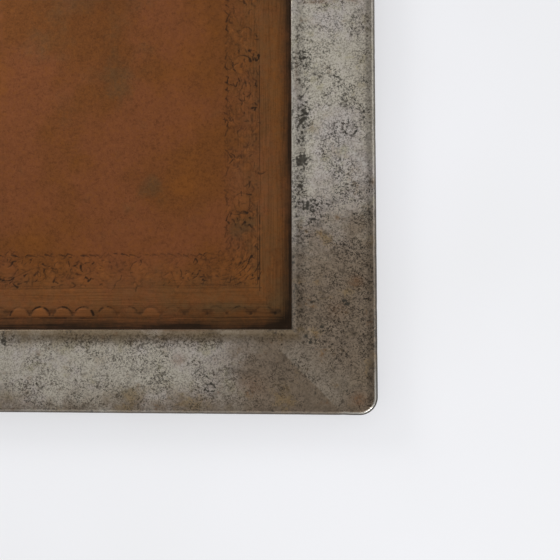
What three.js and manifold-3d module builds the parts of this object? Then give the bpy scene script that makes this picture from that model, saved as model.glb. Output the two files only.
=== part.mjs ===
// A framed copper tray: four mitred steel rails hold a shallow copper pan by its flange. Packing strips and a
// backing board press the flange up against the rails, and screws through all three end in blind holes in the
// steel. Four rubber feet carry it. Millimetres, +Z up, origin on the ground under the middle of the tray.

import * as THREE from 'three';
import { mergeVertices } from 'three/addons/utils/BufferGeometryUtils.js';
import Module from 'manifold-3d';

const wasm = await Module();
wasm.setup();

// ---- Driving dimensions ----

// Steel frame
const frameLength = 900;
const frameDepth = 600;
const railWidth = 75;
const railThickness = 5;
const skirtGroundClearance = 3;
const frameCornerRadius = 16;
const outerEdgeRadius = 4.5;
const innerEdgeRadius = 1.5;
const insideFilletRadius = 3;

// Copper pan
const copperThickness = 1.2;
const panDrop = 12;
const panCoveWidth = 12;
const panCoveHeight = 6;
const panCornerRadius = 14;
const rimUnderRail = 4;
const flangeWidth = 30;
const flangeCornerRadius = 5;

// Backing board
const boardThickness = 9;

// Machine screws and washers
const screwDiameter = 5;
const screwHeadDiameter = 9.5;
const screwHeadHeight = 3.2;
const screwEngagement = 3.2;
const screwSocketWidth = 3.4;
const screwSocketDepth = 1.6;
const washerDiameter = 13;
const washerThickness = 1.2;
const longSideScrews = 4;
const longSideScrewSpan = 690;
const shortSideScrews = 3;
const shortSideScrewSpan = 300;

// Feet and their wood screws
const footHeight = 9.2;
const footTopDiameter = 28;
const footBottomDiameter = 25;
const footEdge = 1.2;
const footWebThickness = 4;
const footRecessDiameter = 12;
const footFromFlangeEnd = 22;
const woodScrewDiameter = 4;
const woodScrewHeadDiameter = 8;
const woodScrewHeadHeight = 2.4;
const woodScrewEngagement = 4.5;

// Clearances
const mitreGap = 0.3;
const seatGap = 0.3;
const holeClearance = 0.6;
const threadClearance = 0.3;
const stripClearance = 0.5;
const tipClearance = 0.4;

// How finely curved faces are divided
const cornerSegments = 6;
const edgeSegments = 3;
const coveSegments = 3;
const holeSegments = 12;
const footSegments = 20;

// How far a cutter runs past the face that it cuts
const overcut = 1;

// Corners closer than this are one corner
const mergeDistance = 1e-4;

// ---- Heights, worked out from the ground up ----

const boardUnderside = footHeight + seatGap;
const boardTop = boardUnderside + boardThickness;
const panUnderside = boardTop + seatGap;
const panFloor = panUnderside + copperThickness;
const frameTop = panFloor + panDrop;
const skirtBottom = skirtGroundClearance;
const railUnderside = frameTop - railThickness;
const flangeTop = railUnderside - seatGap;
const flangeUnderside = flangeTop - copperThickness;
const stripTop = flangeUnderside - seatGap;
const stripBottom = boardTop + seatGap;
const washerTop = boardUnderside - seatGap;
const screwHeadTop = washerTop - washerThickness - seatGap;
const screwTip = railUnderside + screwEngagement;
const footRecessTop = footHeight - footWebThickness;
const woodScrewHeadTop = footRecessTop - seatGap;
const woodScrewTip = stripBottom + woodScrewEngagement;

// ---- Plan sizes, worked out from the frame inward ----

const openingLength = frameLength - 2 * railWidth;
const openingDepth = frameDepth - 2 * railWidth;
const rimLength = openingLength + 2 * rimUnderRail;
const rimDepth = openingDepth + 2 * rimUnderRail;
const flangeLength = rimLength + 2 * (copperThickness + flangeWidth);
const flangeDepth = rimDepth + 2 * (copperThickness + flangeWidth);
const stripWidth = flangeWidth - stripClearance;
const stripCentreFromFlangeEdge = stripWidth / 2;
const screwHoleRadius = (screwDiameter + holeClearance) / 2;
const footReachX = flangeLength / 2 - footFromFlangeEnd;
const footReachY = flangeDepth / 2 - stripCentreFromFlangeEdge;

// The four sides. Each is laid out as the front side, with its outer face towards -Y, and then turned.
const sides = [
  { name: 'front', turn: 0, long: true },
  { name: 'right', turn: Math.PI / 2, long: false },
  { name: 'back', turn: Math.PI, long: true },
  { name: 'left', turn: -Math.PI / 2, long: false },
].map(({ name, turn, long }) => ({
  name,
  turn,
  long,
  span: long ? frameLength : frameDepth,
  reach: long ? frameDepth / 2 : frameLength / 2,
  openingReach: long ? openingDepth / 2 : openingLength / 2,
  flangeReach: long ? flangeDepth / 2 : flangeLength / 2,
  stripLength: long ? flangeLength : flangeDepth - 2 * (stripWidth + seatGap),
  screwPlaces: long
    ? spread(longSideScrews, longSideScrewSpan)
    : spread(shortSideScrews, shortSideScrewSpan),
}));

// ---- Materials ----

const rawSteel = finish('raw_steel', 0x7f7261, 0.45, 0.9);
const copper = finish('patinated_copper', 0x61402a, 0.5, 0.9);
const packingWood = finish('packing_wood', 0xa98558, 0.8, 0);
const plywood = finish('plywood', 0xc9a878, 0.75, 0);
const platedSteel = finish('plated_steel', 0xb9b8ae, 0.35, 1);
const rubber = finish('foot_rubber', 0x1d1c1b, 0.85, 0);

// ---- Helpers ----

function finish(name, color, roughness, metalness) {
  return new THREE.MeshStandardMaterial({ name, color, roughness, metalness });
}

// Places of `count` points spread evenly over `span`, centred on zero.
function spread(count, span) {
  return Array.from({ length: count }, (_, i) => (count === 1 ? 0 : (i / (count - 1) - 0.5) * span));
}

// A closed geometry as a solid that can be cut and joined.
function toSolid(geometry) {
  const bare = geometry.index ? geometry.clone() : geometry;
  bare.deleteAttribute('normal');
  bare.deleteAttribute('uv');
  const merged = mergeVertices(bare, mergeDistance);
  return new wasm.Manifold(new wasm.Mesh({
    numProp: 3,
    vertProperties: new Float32Array(merged.attributes.position.array),
    triVerts: new Uint32Array(merged.index.array),
  }));
}

// A solid as a geometry again.
function toGeometry(solid) {
  const mesh = solid.getMesh();
  const geometry = new THREE.BufferGeometry();
  geometry.setAttribute('position', new THREE.BufferAttribute(mesh.vertProperties, 3));
  geometry.setIndex(new THREE.BufferAttribute(mesh.triVerts, 1));
  const flat = geometry.toNonIndexed();
  flat.computeVertexNormals();
  return flat;
}

// A rectangle centred on the origin, with rounded corners.
function roundedRectangle(length, depth, radius) {
  const x = length / 2;
  const y = depth / 2;
  const shape = new THREE.Shape();
  shape.moveTo(-x + radius, -y);
  shape.absarc(x - radius, -y + radius, radius, -Math.PI / 2, 0);
  shape.absarc(x - radius, y - radius, radius, 0, Math.PI / 2);
  shape.absarc(-x + radius, y - radius, radius, Math.PI / 2, Math.PI);
  shape.absarc(-x + radius, -y + radius, radius, Math.PI, 1.5 * Math.PI);
  return shape;
}

// A plan shape raised from one height to another.
function prism(shape, low, high) {
  const geometry = new THREE.ExtrudeGeometry(shape, {
    depth: high - low,
    bevelEnabled: false,
    curveSegments: cornerSegments,
  });
  return geometry.translate(0, 0, low);
}

// A plan shape whose top edge is rounded by an ellipse quarter. Its lower edge, rounded the same, is at `low`.
function roundToppedPrism(shape, low, high, edgeWidth, edgeHeight, segments) {
  const geometry = new THREE.ExtrudeGeometry(shape, {
    depth: high - low - 2 * edgeHeight,
    bevelEnabled: true,
    bevelSize: edgeWidth,
    bevelOffset: -edgeWidth,
    bevelThickness: edgeHeight,
    bevelSegments: segments,
    curveSegments: cornerSegments,
  });
  return geometry.translate(0, 0, low + edgeHeight);
}

// The same with the rounded edge at the bottom, for a shape that is the same from both sides.
function roundBottomedPrism(shape, low, high, edgeWidth, edgeHeight, segments) {
  const geometry = roundToppedPrism(shape, -high, -low, edgeWidth, edgeHeight, segments);
  return geometry.rotateX(Math.PI);
}

// A section drawn in the YZ plane, swept along X and centred.
function sweptAlongX(section, length) {
  const geometry = new THREE.ExtrudeGeometry(section, {
    depth: length,
    bevelEnabled: false,
    curveSegments: edgeSegments,
  });
  const turn = new THREE.Matrix4().makeBasis(
    new THREE.Vector3(0, 1, 0),
    new THREE.Vector3(0, 0, 1),
    new THREE.Vector3(1, 0, 0),
  );
  return geometry.applyMatrix4(turn).translate(-length / 2, 0, 0);
}

// An upright cylinder from one height to another.
function uprightCylinder(radius, x, y, low, high) {
  const geometry = new THREE.CylinderGeometry(radius, radius, high - low, holeSegments);
  return geometry.rotateX(Math.PI / 2).translate(x, y, (low + high) / 2);
}

// A round piece from a profile of [radius, height] points.
function turned(profile, segments) {
  const points = profile.map(([radius, height]) => new THREE.Vector2(radius, height));
  return new THREE.LatheGeometry(points, segments).rotateX(Math.PI / 2);
}

// A round hole in a plan shape.
function holePath(x, y, radius) {
  const path = new THREE.Path();
  path.absarc(x, y, radius, 0, 2 * Math.PI, true);
  return path;
}

// Where a point of a side's own layout lies on the tray.
function onTray(side, x, y) {
  return new THREE.Vector3(x, y, 0).applyAxisAngle(new THREE.Vector3(0, 0, 1), side.turn);
}

function piece(name, geometry, material) {
  const mesh = new THREE.Mesh(geometry, material);
  mesh.name = name;
  return mesh;
}

// ---- Steel rails ----

// The spandrel that leaves a rounded edge when it is cut from a square one. Its corner is at (y, z), with the
// material on the side of lower y and z.
function edgeSpandrel(y, z, radius) {
  const section = new THREE.Shape();
  section.moveTo(y - radius, z + overcut);
  section.lineTo(y - radius, z);
  section.absarc(y - radius, z - radius, radius, Math.PI / 2, 0, true);
  section.lineTo(y + overcut, z - radius);
  section.lineTo(y + overcut, z + overcut);
  return section;
}

// One rail, laid out as the front one: a plate with a skirt, mitred at both ends.
function rail(side) {
  const { span, reach, openingReach, screwPlaces } = side;
  const across = 2 * reach;
  const outside = toSolid(roundToppedPrism(
    roundedRectangle(span, across, frameCornerRadius),
    skirtBottom - 2 * outerEdgeRadius,
    frameTop,
    outerEdgeRadius,
    outerEdgeRadius,
    edgeSegments,
  ));
  const inside = toSolid(roundToppedPrism(
    roundedRectangle(
      span - 2 * railThickness,
      across - 2 * railThickness,
      frameCornerRadius - railThickness,
    ),
    skirtBottom - overcut - insideFilletRadius,
    railUnderside,
    insideFilletRadius,
    insideFilletRadius,
    edgeSegments,
  ));
  const endSetback = mitreGap / Math.SQRT2;
  const outerHalf = span / 2 - endSetback;
  const innerHalf = outerHalf - railWidth;
  const mitred = new THREE.Shape([
    new THREE.Vector2(-outerHalf, -reach),
    new THREE.Vector2(outerHalf, -reach),
    new THREE.Vector2(innerHalf, -openingReach),
    new THREE.Vector2(-innerHalf, -openingReach),
  ]);
  const blank = toSolid(prism(mitred, skirtBottom, frameTop + overcut));
  const edge = toSolid(sweptAlongX(edgeSpandrel(-openingReach, frameTop, innerEdgeRadius), span));
  let solid = outside.intersect(blank).subtract(inside).subtract(edge);
  for (const x of screwPlaces) {
    const hole = uprightCylinder(
      screwDiameter / 2 + threadClearance,
      x,
      stripLine(side),
      railUnderside - overcut,
      screwTip + tipClearance,
    );
    solid = solid.subtract(toSolid(hole));
  }
  return piece(`frame_rail_${side.name}`, toGeometry(solid), rawSteel);
}

// ---- Packing strips and fixings ----

// The line of the strip's middle, on which the screws stand, in a side's own layout.
function stripLine(side) {
  return -side.flangeReach + stripCentreFromFlangeEdge;
}

function packingStrip(side) {
  const x = side.stripLength / 2;
  const y = stripLine(side);
  const outline = new THREE.Shape([
    new THREE.Vector2(-x, y - stripWidth / 2),
    new THREE.Vector2(x, y - stripWidth / 2),
    new THREE.Vector2(x, y + stripWidth / 2),
    new THREE.Vector2(-x, y + stripWidth / 2),
  ]);
  outline.holes = side.screwPlaces.map((place) => holePath(place, y, screwHoleRadius));
  let solid = toSolid(prism(outline, stripBottom, stripTop));
  if (side.long) {
    for (const x of [-footReachX, footReachX]) {
      const pilot = uprightCylinder(
        woodScrewDiameter / 2 + threadClearance,
        x,
        y,
        stripBottom - overcut,
        woodScrewTip + tipClearance,
      );
      solid = solid.subtract(toSolid(pilot));
    }
  }
  return piece(`packing_strip_${side.name}`, toGeometry(solid), packingWood);
}

// A pan-head machine screw, pointing up, with a hexagon socket in its head.
function machineScrew(name) {
  const radius = screwDiameter / 2;
  const headRadius = screwHeadDiameter / 2;
  const headBottom = screwHeadTop - screwHeadHeight;
  const tipChamfer = 0.6;
  const headChamfer = 1.4;
  const body = toSolid(turned([
    [0, headBottom],
    [headRadius - headChamfer, headBottom],
    [headRadius, headBottom + headChamfer],
    [headRadius, screwHeadTop],
    [radius, screwHeadTop],
    [radius, screwTip - tipChamfer],
    [radius - tipChamfer, screwTip],
    [0, screwTip],
  ], holeSegments));
  const socketRadius = screwSocketWidth / Math.sqrt(3);
  const socket = new THREE.CylinderGeometry(socketRadius, socketRadius, screwSocketDepth + overcut, 6)
    .rotateX(Math.PI / 2)
    .translate(0, 0, headBottom + (screwSocketDepth - overcut) / 2);
  return piece(name, toGeometry(body.subtract(toSolid(socket))), platedSteel);
}

function washer(name) {
  const outer = washerDiameter / 2;
  const inner = screwDiameter / 2 + threadClearance;
  const bottom = washerTop - washerThickness;
  const ring = turned([
    [inner, bottom],
    [outer, bottom],
    [outer, washerTop],
    [inner, washerTop],
    [inner, bottom],
  ], holeSegments);
  return piece(name, toGeometry(toSolid(ring)), platedSteel);
}

// ---- Copper pan and backing board ----

const screwPoints = sides.flatMap((side) => side.screwPlaces.map((x) => onTray(side, x, stripLine(side))));
const feet = [
  { name: 'front_left', x: -footReachX, y: -footReachY },
  { name: 'front_right', x: footReachX, y: -footReachY },
  { name: 'back_left', x: -footReachX, y: footReachY },
  { name: 'back_right', x: footReachX, y: footReachY },
];

// The flange's outer outline, which the backing board shares.
function flangeOutline() {
  return roundedRectangle(flangeLength, flangeDepth, flangeCornerRadius);
}

// One sheet: a flat floor, a cove that rises under the rails, and a flange that the rails bear on.
function copperTray() {
  const flange = flangeOutline();
  flange.holes = screwPoints.map(({ x, y }) => holePath(x, y, screwHoleRadius));
  const wall = roundBottomedPrism(
    roundedRectangle(
      rimLength + 2 * copperThickness,
      rimDepth + 2 * copperThickness,
      panCornerRadius + copperThickness,
    ),
    panUnderside,
    flangeTop + panCoveHeight + copperThickness,
    panCoveWidth,
    panCoveHeight,
    coveSegments,
  );
  const belowFlangeTop = prism(flangeOutline(), panUnderside, flangeTop);
  const hollow = roundBottomedPrism(
    roundedRectangle(rimLength, rimDepth, panCornerRadius),
    panFloor,
    flangeTop + panCoveHeight + overcut,
    panCoveWidth,
    panCoveHeight,
    coveSegments,
  );
  const body = toSolid(wall).intersect(toSolid(belowFlangeTop));
  const solid = toSolid(prism(flange, flangeUnderside, flangeTop)).add(body).subtract(toSolid(hollow));
  return piece('copper_tray', toGeometry(solid), copper);
}

function backingBoard() {
  const outline = flangeOutline();
  outline.holes = [
    ...screwPoints.map(({ x, y }) => holePath(x, y, screwHoleRadius)),
    ...feet.map(({ x, y }) => holePath(x, y, woodScrewDiameter / 2 + threadClearance)),
  ];
  return piece('backing_board', toGeometry(toSolid(prism(outline, boardUnderside, boardTop))), plywood);
}

// ---- Feet ----

function foot(name) {
  const profile = [
    [footRecessDiameter / 2, 0],
    [footBottomDiameter / 2 - footEdge, 0],
    [footBottomDiameter / 2, footEdge],
    [footTopDiameter / 2, footHeight],
    [woodScrewDiameter / 2 + threadClearance, footHeight],
    [woodScrewDiameter / 2 + threadClearance, footRecessTop],
    [footRecessDiameter / 2, footRecessTop],
    [footRecessDiameter / 2, 0],
  ];
  return piece(name, toGeometry(toSolid(turned(profile, footSegments))), rubber);
}

// A flat-topped wood screw, pointing up, with a tapered point.
function woodScrew(name) {
  const radius = woodScrewDiameter / 2;
  const headRadius = woodScrewHeadDiameter / 2;
  const headBottom = woodScrewHeadTop - woodScrewHeadHeight;
  const headChamfer = 0.8;
  const pointLength = 2.5;
  const body = turned([
    [0, headBottom],
    [headRadius - headChamfer, headBottom],
    [headRadius, headBottom + headChamfer],
    [headRadius, woodScrewHeadTop],
    [radius, woodScrewHeadTop],
    [radius, woodScrewTip - pointLength],
    [0, woodScrewTip],
  ], holeSegments);
  return piece(name, toGeometry(toSolid(body)), platedSteel);
}

// ---- The tray ----

const tray = new THREE.Group();

tray.add(copperTray());
tray.add(backingBoard());

for (const side of sides) {
  const group = new THREE.Group();
  group.rotation.z = side.turn;
  group.add(rail(side));
  group.add(packingStrip(side));
  side.screwPlaces.forEach((x, i) => {
    const screw = machineScrew(`fixing_screw_${side.name}_${i + 1}`);
    const ring = washer(`fixing_washer_${side.name}_${i + 1}`);
    for (const part of [screw, ring]) {
      part.position.set(x, stripLine(side), 0);
      group.add(part);
    }
  });
  tray.add(group);
}

for (const { name, x, y } of feet) {
  for (const part of [foot(`foot_${name}`), woodScrew(`foot_screw_${name}`)]) {
    part.position.set(x, y, 0);
    tray.add(part);
  }
}

export default tray;
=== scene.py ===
"""A framed copper tray, dressed for a plain studio.

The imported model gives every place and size. This script gives each piece its final mesh and its finish: the
chased and planished copper, the ground and pitted steel rails, the plywood and packing beneath, the plated
fixings and the rubber feet. Lengths are metres, except in the shaders and the chasing, which use millimetres.
"""

from __future__ import annotations

import logging
import math
from dataclasses import dataclass
from enum import Enum, IntEnum
from typing import Callable, Iterable, Sequence, Union

import bpy
import numpy as np
from mathutils import Matrix, Vector

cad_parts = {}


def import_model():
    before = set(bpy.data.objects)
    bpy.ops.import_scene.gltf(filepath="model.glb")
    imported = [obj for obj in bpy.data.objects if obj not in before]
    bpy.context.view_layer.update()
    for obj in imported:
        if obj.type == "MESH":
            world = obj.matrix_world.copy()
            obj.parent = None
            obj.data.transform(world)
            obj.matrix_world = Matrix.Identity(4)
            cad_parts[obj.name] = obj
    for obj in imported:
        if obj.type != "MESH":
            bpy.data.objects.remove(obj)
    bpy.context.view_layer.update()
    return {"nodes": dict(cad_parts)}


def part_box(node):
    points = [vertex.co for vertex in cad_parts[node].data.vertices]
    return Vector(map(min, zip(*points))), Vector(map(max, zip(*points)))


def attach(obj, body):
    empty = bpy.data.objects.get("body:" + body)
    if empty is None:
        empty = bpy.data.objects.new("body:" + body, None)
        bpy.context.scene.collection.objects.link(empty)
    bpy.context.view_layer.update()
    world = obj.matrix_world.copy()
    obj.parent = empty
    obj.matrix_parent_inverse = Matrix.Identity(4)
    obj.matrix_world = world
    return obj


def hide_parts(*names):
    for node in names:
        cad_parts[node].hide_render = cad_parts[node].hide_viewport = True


log = logging.getLogger("tray")

MM = 0.001
SEAT_GAP = 0.3 * MM
Colour = tuple[float, float, float]
Point = tuple[float, float]
Value = Union["Socket", float, int, Sequence[float]]
Node = bpy.types.Object


def srgb(red: int, green: int, blue: int) -> Colour:
    """Turns a display colour into the linear one that shaders take.

    Args:
        red: Red from 0 to 255.
        green: Green from 0 to 255.
        blue: Blue from 0 to 255.

    Returns:
        The same colour as linear red, green and blue.
    """

    def linear(level: int) -> float:
        """One channel from 0 to 255, as linear light."""
        share = level / 255
        return share / 12.92 if share <= 0.04045 else ((share + 0.055) / 1.055) ** 2.4

    return linear(red), linear(green), linear(blue)


# ---------------------------------------------------------------------------------------------------------
# Shader maths
# ---------------------------------------------------------------------------------------------------------


def operator(operation: str, reflected: bool = False) -> Callable[[Socket, Value], Socket]:
    """Makes a method of two values that adds a Math node.

    Args:
        operation: The Math node's operation.
        reflected: Whether the other value comes first.

    Returns:
        The method.
    """

    def method(self: Socket, other: Value) -> Socket:
        """Adds the node."""
        return self.math(operation, other, self) if reflected else self.math(operation, self, other)

    return method


class Socket:
    """A node's output, which can be used in a Python expression."""

    def __init__(self, shader: Shader, plug: bpy.types.NodeSocket | None) -> None:
        """Wraps one output of a node in the given shader, or nothing for a node without outputs."""
        self.shader = shader
        self.plug = plug

    __add__ = operator("ADD")
    __radd__ = operator("ADD", reflected=True)
    __sub__ = operator("SUBTRACT")
    __rsub__ = operator("SUBTRACT", reflected=True)
    __mul__ = operator("MULTIPLY")
    __rmul__ = operator("MULTIPLY", reflected=True)
    __truediv__ = operator("DIVIDE")
    __mod__ = operator("MODULO")
    least = operator("MINIMUM")
    most = operator("MAXIMUM")

    def math(self, operation: str, *values: Value) -> Socket:
        """Adds a Math node of the given operation over the given values."""
        return self.shader.node("ShaderNodeMath", {"operation": operation}, dict(enumerate(values)))

    def __abs__(self) -> Socket:
        """Size without sign."""
        return self.math("ABSOLUTE", self)

    def root(self) -> Socket:
        """Square root."""
        return self.math("SQRT", self)

    def between(self, low: float, high: float) -> Socket:
        """A smooth rise from 0 at low to 1 at high, or a fall if low is the higher.

        Args:
            low: Where the result is 0.
            high: Where the result is 1.

        Returns:
            The smooth step.
        """
        sockets: dict[str | int, Value] = {"Value": self}
        sockets |= {"From Min": min(low, high), "From Max": max(low, high)}
        if low > high:
            sockets |= {"To Min": 1.0, "To Max": 0.0}
        return self.shader.node("ShaderNodeMapRange", {"interpolation_type": "SMOOTHSTEP"}, sockets)


class Shader:
    """One material's node tree, written as expressions."""

    def __init__(self, name: str) -> None:
        """Starts an empty material with the given name."""
        self.material = bpy.data.materials.new(name)
        self.material.use_nodes = True
        self.tree = self.material.node_tree
        self.tree.nodes.clear()

    def node(
        self,
        kind: str,
        settings: dict[str, object] | None = None,
        sockets: dict[str | int, Value] | None = None,
        out: str | int = 0,
    ) -> Socket:
        """Adds any node.

        Args:
            kind: The node's type.
            settings: Its properties, set first.
            sockets: Values or links for its inputs, by name or number.
            out: Which output to give back.

        Returns:
            That output.
        """
        made = self.tree.nodes.new(kind)
        for key, value in (settings or {}).items():
            setattr(made, key, value)
        for key, value in (sockets or {}).items():
            if isinstance(value, Socket):
                self.tree.links.new(value.plug, made.inputs[key])
            else:
                made.inputs[key].default_value = value
        return Socket(self, made.outputs[out] if made.outputs else None)

    def place(self, stretch: Colour = (1.0, 1.0, 1.0)) -> Socket:
        """Where the point is, in millimetres, optionally squeezed along each axis."""
        own = self.node("ShaderNodeTexCoord", out="Object")
        factors = tuple(share / MM for share in stretch)
        return self.node("ShaderNodeVectorMath", {"operation": "MULTIPLY"}, {0: own, 1: factors})

    def axes(self, vector: Socket) -> tuple[Socket, Socket, Socket]:
        """A vector's three parts."""
        outputs = self.node("ShaderNodeSeparateXYZ", sockets={"Vector": vector}).plug.node.outputs
        return Socket(self, outputs[0]), Socket(self, outputs[1]), Socket(self, outputs[2])

    def noise(self, place: Socket, size: float, detail: float = 2.0, roughness: float = 0.5) -> Socket:
        """Cloudy noise about 0.5.

        Args:
            place: Where to read it.
            size: How wide one cloud is, in the units of place.
            detail: How many finer layers it has.
            roughness: How strong the finer layers are.

        Returns:
            The noise, from 0 to 1.
        """
        sockets = {"Vector": place, "Scale": 1 / size, "Detail": detail, "Roughness": roughness}
        return self.node("ShaderNodeTexNoise", {"noise_dimensions": "3D"}, sockets)

    def marks(self, name: str) -> Socket:
        """A value painted on the mesh's points."""
        return self.node("ShaderNodeAttribute", {"attribute_name": name}, out="Fac")

    def blend(self, share: Value, first: Value, second: Value) -> Socket:
        """Mixes two colours.

        Args:
            share: How much of the second shows.
            first: The colour beneath.
            second: The colour above.

        Returns:
            The mixed colour.
        """
        sockets: dict[str | int, Value] = {0: share}
        for key, value in ((6, first), (7, second)):
            sockets[key] = value if isinstance(value, Socket) else (*value, 1.0)
        return self.node("ShaderNodeMix", {"data_type": "RGBA", "clamp_factor": True}, sockets, out=2)

    def shade(self, colour: Socket, by: Socket) -> Socket:
        """A colour made darker or lighter by a value."""
        return self.node("ShaderNodeVectorMath", {"operation": "SCALE"}, {0: colour, "Scale": by})

    def bump(self, height: Socket, distance: float, below: Socket | None = None) -> Socket:
        """A normal from a height.

        Args:
            height: The relief.
            distance: Millimetres per unit of height.
            below: A normal to add it to.

        Returns:
            The normal.
        """
        sockets: dict[str | int, Value] = {"Height": height, "Distance": distance * MM, "Strength": 1.0}
        if below is not None:
            sockets["Normal"] = below
        return self.node("ShaderNodeBump", {}, sockets)

    def surface(self, **sockets: Value) -> bpy.types.Material:
        """Ends the material in a Principled shader.

        Args:
            sockets: The shader's inputs, with spaces written as underscores.

        Returns:
            The finished material.
        """
        named = {key.replace("_", " "): value for key, value in sockets.items()}
        return self.finish(self.node("ShaderNodeBsdfPrincipled", {}, named))

    def finish(self, body: Socket) -> bpy.types.Material:
        """Links a shader to the material's output and returns the material."""
        self.node("ShaderNodeOutputMaterial", {}, {"Surface": body})
        return self.material


# ---------------------------------------------------------------------------------------------------------
# Meshes
# ---------------------------------------------------------------------------------------------------------


class Slot(Enum):
    """The record's material slots."""

    STEEL = "raw_steel"
    COPPER = "patinated_copper"
    PACKING = "packing_wood"
    PLYWOOD = "plywood"
    PLATED = "plated_steel"
    RUBBER = "foot_rubber"


def make_mesh(
    name: str,
    points: np.ndarray,
    faces: Iterable[np.ndarray],
    painted: dict[str, np.ndarray] | None = None,
    crease: float = 45.0,
) -> Node:
    """Makes a smooth-shaded mesh object.

    Args:
        name: The piece's name.
        points: Its points, in metres.
        faces: Arrays of faces, one array for each number of corners.
        painted: Values to store on the points, by name.
        crease: Edges that bend more than this, in degrees, are shaded sharp.

    Returns:
        The object, linked to the scene.
    """
    groups = [group for group in faces if len(group)]
    corners = np.concatenate([group.ravel() for group in groups]).astype(np.int32)
    sizes = np.concatenate([np.full(len(group), group.shape[1], np.int32) for group in groups])
    starts = np.concatenate([[0], np.cumsum(sizes)[:-1]]).astype(np.int32)
    mesh = bpy.data.meshes.new(name)
    mesh.vertices.add(len(points))
    mesh.vertices.foreach_set("co", points.astype(np.float32).ravel())
    mesh.loops.add(len(corners))
    mesh.loops.foreach_set("vertex_index", corners)
    mesh.polygons.add(len(sizes))
    mesh.polygons.foreach_set("loop_start", starts)
    mesh.polygons.foreach_set("loop_total", sizes)
    mesh.polygons.foreach_set("use_smooth", np.ones(len(sizes), bool))
    for key, values in (painted or {}).items():
        layer = mesh.attributes.new(key, "FLOAT", "POINT")
        layer.data.foreach_set("value", values.astype(np.float32))
    mesh.update(calc_edges=True)
    mesh.validate()
    mesh.set_sharp_from_angle(angle=math.radians(crease))
    made = bpy.data.objects.new(name, mesh)
    bpy.context.scene.collection.objects.link(made)
    return made


def place_piece(piece: Node, material: bpy.types.Material) -> Node:
    """Gives a piece its finish and its body.

    Args:
        piece: The piece.
        material: Its finish.

    Returns:
        The same piece.
    """
    piece.data.materials.clear()
    piece.data.materials.append(material)
    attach(piece, "root")
    return piece


def wrap_faces(rows: int, columns: int, close_rows: bool, close_columns: bool) -> np.ndarray:
    """Quads over a grid of points stored row by row.

    Args:
        rows: How many rows of points there are.
        columns: How many points a row has.
        close_rows: Whether the last row joins the first.
        close_columns: Whether each row closes on itself.

    Returns:
        The quads, facing along (next row) cross (next column).
    """
    down = np.arange(rows if close_rows else rows - 1)
    across = np.arange(columns if close_columns else columns - 1)
    i, j = np.meshgrid(down, across, indexing="ij")
    k, m = (i + 1) % rows, (j + 1) % columns
    quads = np.stack([i * columns + j, k * columns + j, k * columns + m, i * columns + m], axis=-1)
    return quads.reshape(-1, 4)


def arc(centre: Point, radius: float, start: float, end: float, steps: int) -> list[Point]:
    """Points along a circular arc, both ends included.

    Args:
        centre: The arc's centre.
        radius: Its radius.
        start: The first angle, in degrees.
        end: The last angle, in degrees.
        steps: How many chords it has.

    Returns:
        The points.
    """
    angles = np.radians(np.linspace(start, end, steps + 1))
    return [(centre[0] + radius * math.cos(a), centre[1] + radius * math.sin(a)) for a in angles]


def ruled(start: Point, end: Point, spacing: float) -> list[Point]:
    """Points between two ends, which are left out, no further apart than spacing."""
    steps = max(1, math.ceil(math.dist(start, end) / spacing))
    shares = np.arange(1, steps) / steps
    return [(start[0] + (end[0] - start[0]) * s, start[1] + (end[1] - start[1]) * s) for s in shares]


def turned(
    name: str, profile: Sequence[Point], centre: Sequence[float], sides: int, closed: bool
) -> Node:
    """A round piece on an upright axis.

    Args:
        name: The piece's name.
        profile: Its (radius, height) points, going up on the outside.
        centre: Where its axis stands; heights are measured from centre's z.
        sides: How many facets it has around.
        closed: Whether the profile closes on itself. If not, it starts and ends on the axis.

    Returns:
        The object.
    """
    ring = profile if closed else profile[1:-1]
    radii = np.array([p[0] for p in ring])
    heights = np.array([p[1] for p in ring])
    angles = np.arange(sides) * 2 * math.pi / sides
    x = centre[0] + np.outer(np.cos(angles), radii)
    y = centre[1] + np.outer(np.sin(angles), radii)
    z = centre[2] + np.broadcast_to(heights, x.shape)
    points = np.stack([x, y, z], axis=-1).reshape(-1, 3)
    faces = [wrap_faces(sides, len(ring), True, closed)]
    if not closed:
        count = len(points)
        ends = [[centre[0], centre[1], centre[2] + profile[k][1]] for k in (0, -1)]
        points = np.concatenate([points, ends])
        i = np.arange(sides)
        k = (i + 1) % sides
        columns = len(ring)
        low = np.stack([np.full(sides, count), k * columns, i * columns], axis=-1)
        last = columns - 1
        high = np.stack([np.full(sides, count + 1), i * columns + last, k * columns + last], axis=-1)
        faces += [low, high]
    return make_mesh(name, points, faces)


class Seed(IntEnum):
    """What each kind of unsteadiness is drawn from, so that every run is the same."""

    GROUND = 11
    KNOCKS = 29
    SCALE = 5
    HAMMER = 3
    LOOSE = 17
    CHASING = 41
    FILTH = 23
    GRIME = 7
    PATINA = 61


class Unevenness:
    """Smooth repeatable noise over the plan, for what a hand leaves uneven."""

    def __init__(self, seed: Seed) -> None:
        """Draws the noise's lattice."""
        self.lattice = np.random.default_rng(seed).random((256, 256))

    def at(self, x: np.ndarray, y: np.ndarray, size: float) -> np.ndarray:
        """The noise at some points.

        Args:
            x: Their first coordinates.
            y: Their second coordinates.
            size: The width of one cloud, in the same units.

        Returns:
            Values from -1 to 1.
        """
        u, v = x / size + 128.5, y / size + 128.5
        i, j = np.floor(u).astype(int), np.floor(v).astype(int)
        fu, fv = u - i, v - j
        fu, fv = fu * fu * (3 - 2 * fu), fv * fv * (3 - 2 * fv)
        low = self._read(i, j) * (1 - fu) + self._read(i + 1, j) * fu
        high = self._read(i, j + 1) * (1 - fu) + self._read(i + 1, j + 1) * fu
        return 2 * (low * (1 - fv) + high * fv) - 1

    def _read(self, i: np.ndarray, j: np.ndarray) -> np.ndarray:
        """The lattice's values, which repeat in both directions."""
        return self.lattice[i & 255, j & 255]


# ---------------------------------------------------------------------------------------------------------
# Finishes
# ---------------------------------------------------------------------------------------------------------


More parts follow.
